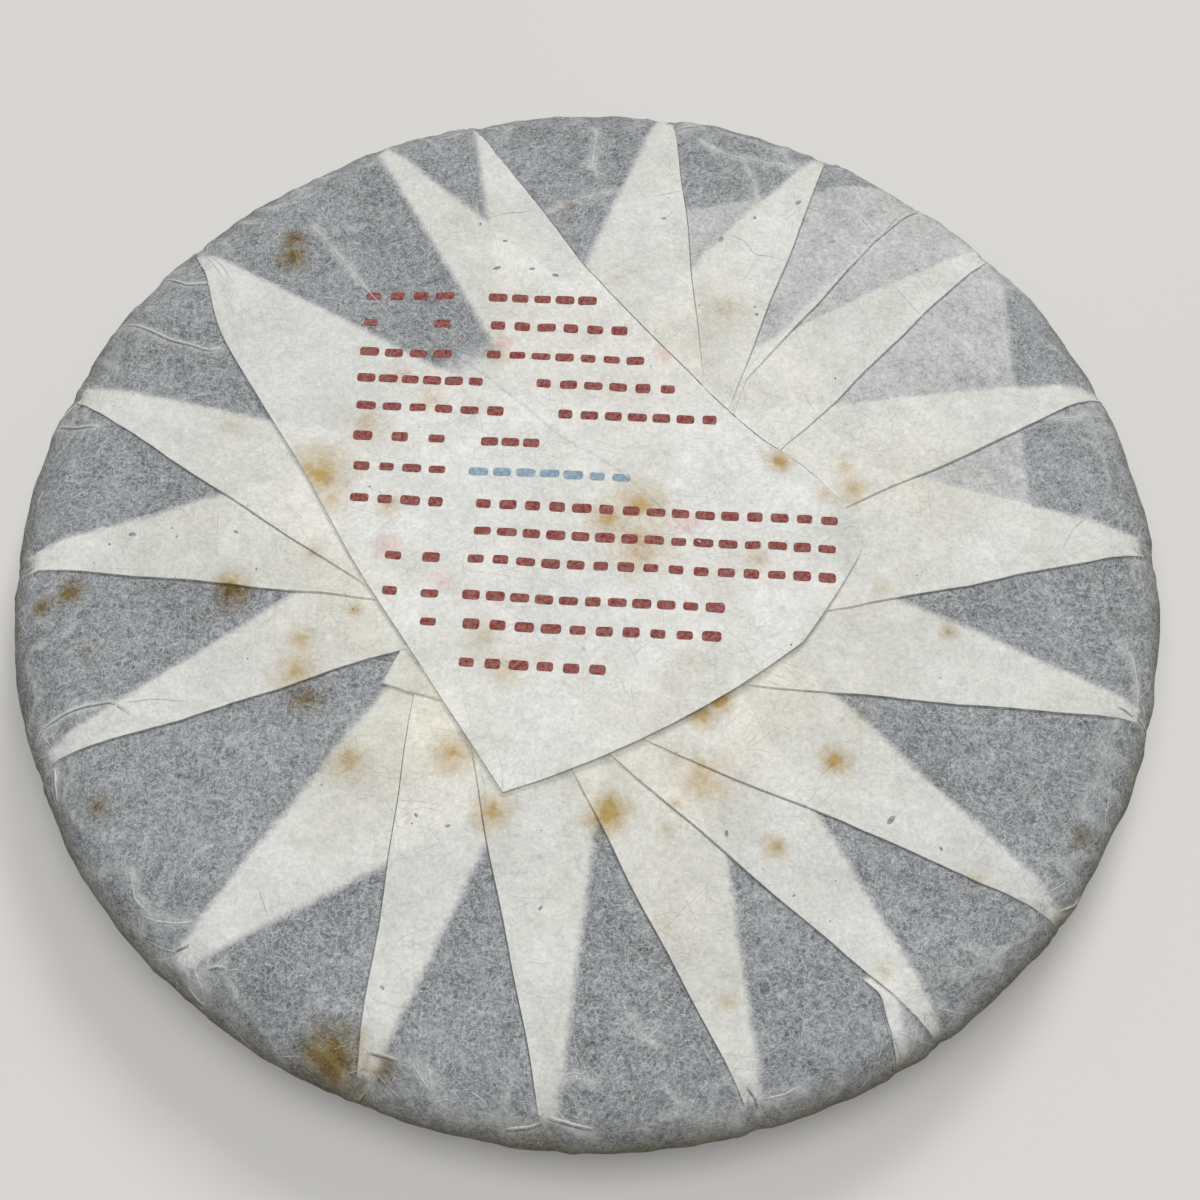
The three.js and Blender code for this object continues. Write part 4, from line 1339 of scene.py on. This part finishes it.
def leaf_group():
    """How dark the pressed leaf shows through one layer of paper: clouds, small leaves and fine grain."""
    nodes, start, end = new_tree("ShaderNodeTree", "leaf_showing", {"Place": "Vector"}, ("Shade", "Float"))
    shade = 0.0
    for noise, spread in LEAF_PATTERNS:
        shade = nodes.plus(shade, nodes.pattern(start["Place"], noise, spread))
    nodes.feed(end, {0: shade})
    return nodes.tree


def new_material(name):
    """A new material, its nodes and its Object coordinates."""
    material = bpy.data.materials.new(name)
    material.use_nodes = True
    nodes = Nodes(material.node_tree)
    return material, nodes, nodes.add("ShaderNodeTexCoord").outputs["Object"]


def set_surface(nodes, inputs):
    """Feeds a material's Principled shader."""
    nodes.feed(nodes.tree.nodes["Principled BSDF"], inputs)


def count_layers(nodes, place):
    """How many layers of paper lie together, with soft and slightly uneven edges."""
    uneven = nodes.math("SUBTRACT", nodes.noise(place, *EDGE_NOISE), 0.5)
    wobble = nodes.times(uneven, EDGE_WOBBLE)
    layers = nodes.plus(nodes.attribute("cover"), 1.0)
    for name, count in ADDED_LAYERS.items():
        edge = nodes.plus(nodes.attribute(name), wobble)
        inside = nodes.eased(edge, -HIDDEN_EDGE_BLUR, HIDDEN_EDGE_BLUR)
        layers = nodes.plus(layers, nodes.times(inside, count))
    return layers


def with_leaf(nodes, place, layers, leaf):
    """The tone of the paper for its layers, with the leaf that shows through."""
    ramp = nodes.add("ShaderNodeValToRGB", {"Fac": nodes.ranged(layers, *TONE_BY_LAYER)})
    stops = ramp.color_ramp.elements
    while len(stops) < len(PAPER_TONES):
        stops.new(0.5)
    for stop, (position, tone) in zip(stops, PAPER_TONES):
        stop.position = position
        stop.color = tone
    shade = nodes.times(nodes.group(leaf, place), nodes.ranged(layers, *LEAF_BY_LAYER))
    return nodes.tint(1.0, ramp.outputs["Color"], nodes.plus(shade, 1.0))


def with_fibres(nodes, place, layers, fibres, tone):
    """The tone with long and short fibres, and how much long fibre there is."""
    strands = nodes.times(nodes.group(fibres, place, **LONG_FIBRES), nodes.pattern(place, *FIBRE_PATCHES))
    long_share = nodes.times(strands, nodes.ranged(layers, *LONG_FIBRES_BY_LAYER))
    tone = nodes.mix(long_share, tone, LONG_FIBRE_TONE)
    short = nodes.group(fibres, place, **SHORT_FIBRES)
    short_share = nodes.times(short, nodes.ranged(layers, *SHORT_FIBRES_BY_LAYER))
    return nodes.mix(short_share, tone, SHORT_FIBRE_TONE), strands


def with_creases(nodes, place, layers, tone):
    """The tone with pale lifted creases and dark lines of painted shadow."""
    lifted = nodes.attribute("lifted")
    pale = nodes.times(lifted, nodes.ranged(layers, *RIDGES_BY_LAYER))
    tone = nodes.mix(nodes.times(pale, nodes.pattern(place, *RIDGE_PATCHES)), tone, LIFTED_TONE)
    # Where lifted is less than nothing, the paper takes the dark tone of painted shadow.
    dark = nodes.times(lifted, nodes.ranged(layers, *PAINTED_SHADOW_BY_LAYER))
    return nodes.mix(nodes.math("MAXIMUM", dark, 0.0), tone, CREASE_SHADOW)


def with_age(nodes, place, layers, tone):
    """The tone with pale clouds and yellowing."""
    haze = nodes.times(nodes.pattern(place, *HAZE_PATCHES), nodes.ranged(layers, *HAZE_BY_LAYER))
    tone = nodes.tint(haze, tone, HAZE_TINT)
    aged = nodes.times(nodes.pattern(place, *AGED_PATCHES), nodes.ranged(layers, *AGE_BY_LAYER))
    tone = nodes.tint(aged, tone, AGED_TINT)
    cream = nodes.times(nodes.attribute("cream"), nodes.pattern(place, *CREAM_PATCHES))
    return nodes.tint(nodes.times(cream, nodes.ranged(layers, *CREAM_BY_LAYER)), tone, CREAM_TINT)


def with_stains(nodes, place, layers, tone):
    """The tone with ragged brown stains, which look different on white and on grey paper, and run ink."""
    ragged = nodes.math("SUBTRACT", nodes.noise(place, *RAGGED_NOISE), 0.5)
    depth = nodes.plus(nodes.attribute("stain"), nodes.times(ragged, STAIN_RAGGED))
    body = nodes.plus(nodes.times(nodes.eased(depth, *STAIN_EDGE), STAIN_EDGE_SHARE),
                      nodes.times(nodes.eased(depth, *STAIN_CORE), STAIN_CORE_SHARE))
    body = nodes.times(body, nodes.attribute("stain_strength"))
    body = nodes.times(body, nodes.pattern(place, *STAIN_MOTTLE))
    for by_layer, color in STAIN_TINTS:
        tone = nodes.tint(nodes.times(body, nodes.ranged(layers, *by_layer)), tone, color)
    smear = nodes.plus(nodes.attribute("smear"), nodes.times(ragged, SMEAR_RAGGED))
    return nodes.tint(nodes.times(nodes.eased(smear, *SMEAR_EDGE), SMEAR_SHARE), tone, SMEAR_TINT)


def with_yellowed_and_shaded_rim(nodes, place, tone):
    """The tone yellowed and darkened with painted shade round the rim, and less on the underside."""
    level = nodes.add("ShaderNodeSeparateXYZ", {"Vector": place}).outputs["Z"]
    # Painted shade and yellowing together: darker and yellower round the rim.
    worn = nodes.times(nodes.ranged(level, *RIM_YELLOW_AND_SHADE_HEIGHTS), nodes.ranged(level, *FACE_YELLOW_AND_SHADE_HEIGHTS))
    return nodes.tint(worn, tone, RIM_YELLOW_AND_SHADE_TINT)


def with_dots(nodes, place, layers, tone):
    """The tone with small grains under single layers, and a few dots of leaf."""
    grains = nodes.times(nodes.dots(place, *GRAIN_DOTS), nodes.ranged(layers, *GRAINS_BY_LAYER))
    tone = nodes.mix(grains, tone, LEAF_GRAIN_TONE)
    return nodes.mix(nodes.times(nodes.dots(place, *LEAF_DOTS), LEAF_DOT_SHARE), tone, LEAF_DOT_TONE)


def paper_material(fibres, leaf):
    """Thin fibrous wrapping paper: whiter where layers lie together, grey where the leaf shows through."""
    material, nodes, place = new_material("thin_fibrous_paper")
    layers = count_layers(nodes, place)
    tone = with_leaf(nodes, place, layers, leaf)
    tone, strands = with_fibres(nodes, place, layers, fibres, tone)
    tone = with_creases(nodes, place, layers, tone)
    tone = with_age(nodes, place, layers, tone)
    tone = with_stains(nodes, place, layers, tone)
    tone = with_yellowed_and_shaded_rim(nodes, place, tone)
    tone = with_dots(nodes, place, layers, tone)
    relief = nodes.plus(nodes.times(nodes.noise(place, *GRAIN_NOISE), GRAIN_RELIEF),
                        nodes.times(nodes.noise(place, *CREASED_NOISE), CREASED_RELIEF))
    relief = nodes.plus(relief, nodes.times(strands, FIBRE_RELIEF))
    set_surface(nodes, {"Base Color": tone, "Specular IOR Level": PAPER_SHINE,
                        "Roughness": nodes.pattern(place, *ROUGHNESS_PATCHES),
                        "Normal": nodes.bump(relief, *PAPER_BUMP)})
    return material


def ink_material(name, color, paper_color, worn, fibres):
    """Printing ink that has sunk unevenly into the paper."""
    material, nodes, place = new_material(name)
    patches = nodes.pattern(place, *INK_PATCHES)
    bare = nodes.math("MAXIMUM", nodes.times(patches, worn),
                      nodes.times(nodes.group(fibres, place, **INK_FIBRES), worn * INK_FIBRE_SHARE))
    set_surface(nodes, {"Base Color": nodes.mix(bare, color, paper_color),
                        "Specular IOR Level": PAPER_SHINE,
                        "Roughness": nodes.ranged(patches, 0.0, 1.0, *INK_ROUGHNESS),
                        "Normal": nodes.bump(nodes.noise(place, *GRAIN_NOISE), *INK_BUMP)})
    return material


def leaf_crumb_material():
    """Dark leaf that shows greyly through the paper's fibres."""
    material, nodes, place = new_material("veiled_leaf_crumb")
    set_surface(nodes, {"Base Color": nodes.mix(nodes.pattern(place, *CRUMB_PATCHES), *CRUMB_TONES),
                        "Roughness": CRUMB_ROUGHNESS, "Specular IOR Level": CRUMB_SHINE})
    return material


def make_floor():
    """The plain pale floor that the cake lies on, with a very faint unevenness."""
    material, nodes, place = new_material("pale_floor")
    set_surface(nodes, {"Base Color": nodes.mix(nodes.pattern(place, *FLOOR_PATCHES), *FLOOR_TONES),
                        "Roughness": FLOOR_ROUGHNESS})
    mesh = bpy.data.meshes.new("floor")
    corners = [(x * FLOOR_REACH, y * FLOOR_REACH, 0) for x, y in ((-1, -1), (1, -1), (1, 1), (-1, 1))]
    mesh.from_pydata(corners, [], [(0, 1, 2, 3)])
    mesh.materials.append(material)
    new_object("floor", mesh)


def light_scene():
    """Soft light from behind and from above, with a pale surround."""
    for name, (place, size, watts, color) in LIGHTS.items():
        data = bpy.data.lights.new(name, "AREA")
        data.size = size
        data.energy = watts
        data.color = color
        light = new_object(name, data)
        light.location = place
        light.rotation_euler = (-Vector(place)).to_track_quat("-Z", "Y").to_euler()
    world = bpy.data.worlds.new("pale_room")
    bpy.context.scene.world = world
    world.use_nodes = True
    background = world.node_tree.nodes["Background"]
    background.inputs["Color"].default_value = ROOM_COLOR
    background.inputs["Strength"].default_value = ROOM_STRENGTH
    bpy.context.scene.view_settings.view_transform = "Standard"


def place_camera(shift):
    """The camera of the photograph."""
    data = bpy.data.cameras.new("camera")
    data.lens = LENS
    data.sensor_width = SENSOR_WIDTH
    data.sensor_fit = "HORIZONTAL"
    camera = new_object("camera", data)
    elevation = math.radians(CAMERA_ELEVATION)
    back = Vector((0, -math.cos(elevation), math.sin(elevation))) * CAMERA_DISTANCE
    camera.location = (Vector(AIM) + back + Vector((shift[0], shift[1], 0))) * MM
    camera.rotation_euler = (math.pi / 2 - elevation, 0, 0)
    bpy.context.scene.camera = camera


def shift_to_frame(pieces, wrapper):
    """Moves the finished meshes so that the wrapper lies in the middle of its solid, and says how far."""
    low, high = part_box("wrapped_cake")
    places = np.array([vertex.co[:2] for vertex in wrapper.data.vertices])
    centre = (places.min(axis=0) + places.max(axis=0)) / 2
    shift = [(low[i] + high[i]) / 2 / MM - centre[i] / MM for i in (0, 1)]
    for piece in pieces:
        for vertex in piece.data.vertices:
            vertex.co.x += shift[0] * MM
            vertex.co.y += shift[1] * MM
        piece.data.update()
    return shift


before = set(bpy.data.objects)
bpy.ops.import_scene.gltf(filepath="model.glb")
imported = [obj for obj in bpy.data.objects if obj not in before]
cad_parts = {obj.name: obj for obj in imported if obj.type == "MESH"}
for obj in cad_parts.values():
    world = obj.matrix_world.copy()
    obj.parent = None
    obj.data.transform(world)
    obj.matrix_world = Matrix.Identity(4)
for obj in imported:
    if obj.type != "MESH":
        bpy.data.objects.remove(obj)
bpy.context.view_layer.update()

fibres, leaf = fibre_group(), leaf_group()
paper = paper_material(fibres, leaf)
red_ink = ink_material("dark_red_ink", *RED_INK, fibres)
stamp_ink = ink_material("blue_grey_ink", *STAMP_INK, fibres)

wrapper = make_wrapper(paper)
flap = make_flap(paper)
bpy.context.view_layer.update()
wrapper_top, flap_top = surface_finder(wrapper), surface_finder(flap)
highest = surface_finder(wrapper, flap)
tucked = make_tucked_corner(paper, wrapper_top)
creases = make_creases(paper, wrapper, highest, flap_top)
crumbs = make_crumbs(leaf_crumb_material(), highest)
red_print = make_print("ink_red_bars", RED_ROWS, RED_SEED, red_ink, flap_top, highest)
stamp_print = make_print("ink_stamp_bars", [STAMP_ROW], STAMP_SEED, stamp_ink, flap_top, highest)

pieces = [wrapper, flap, tucked, creases, crumbs, red_print, stamp_print]
plan_shift = shift_to_frame(pieces, wrapper)
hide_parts("wrapped_cake")
for piece in pieces:
    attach(piece, "root")

make_floor()
light_scene()
place_camera(plan_shift)
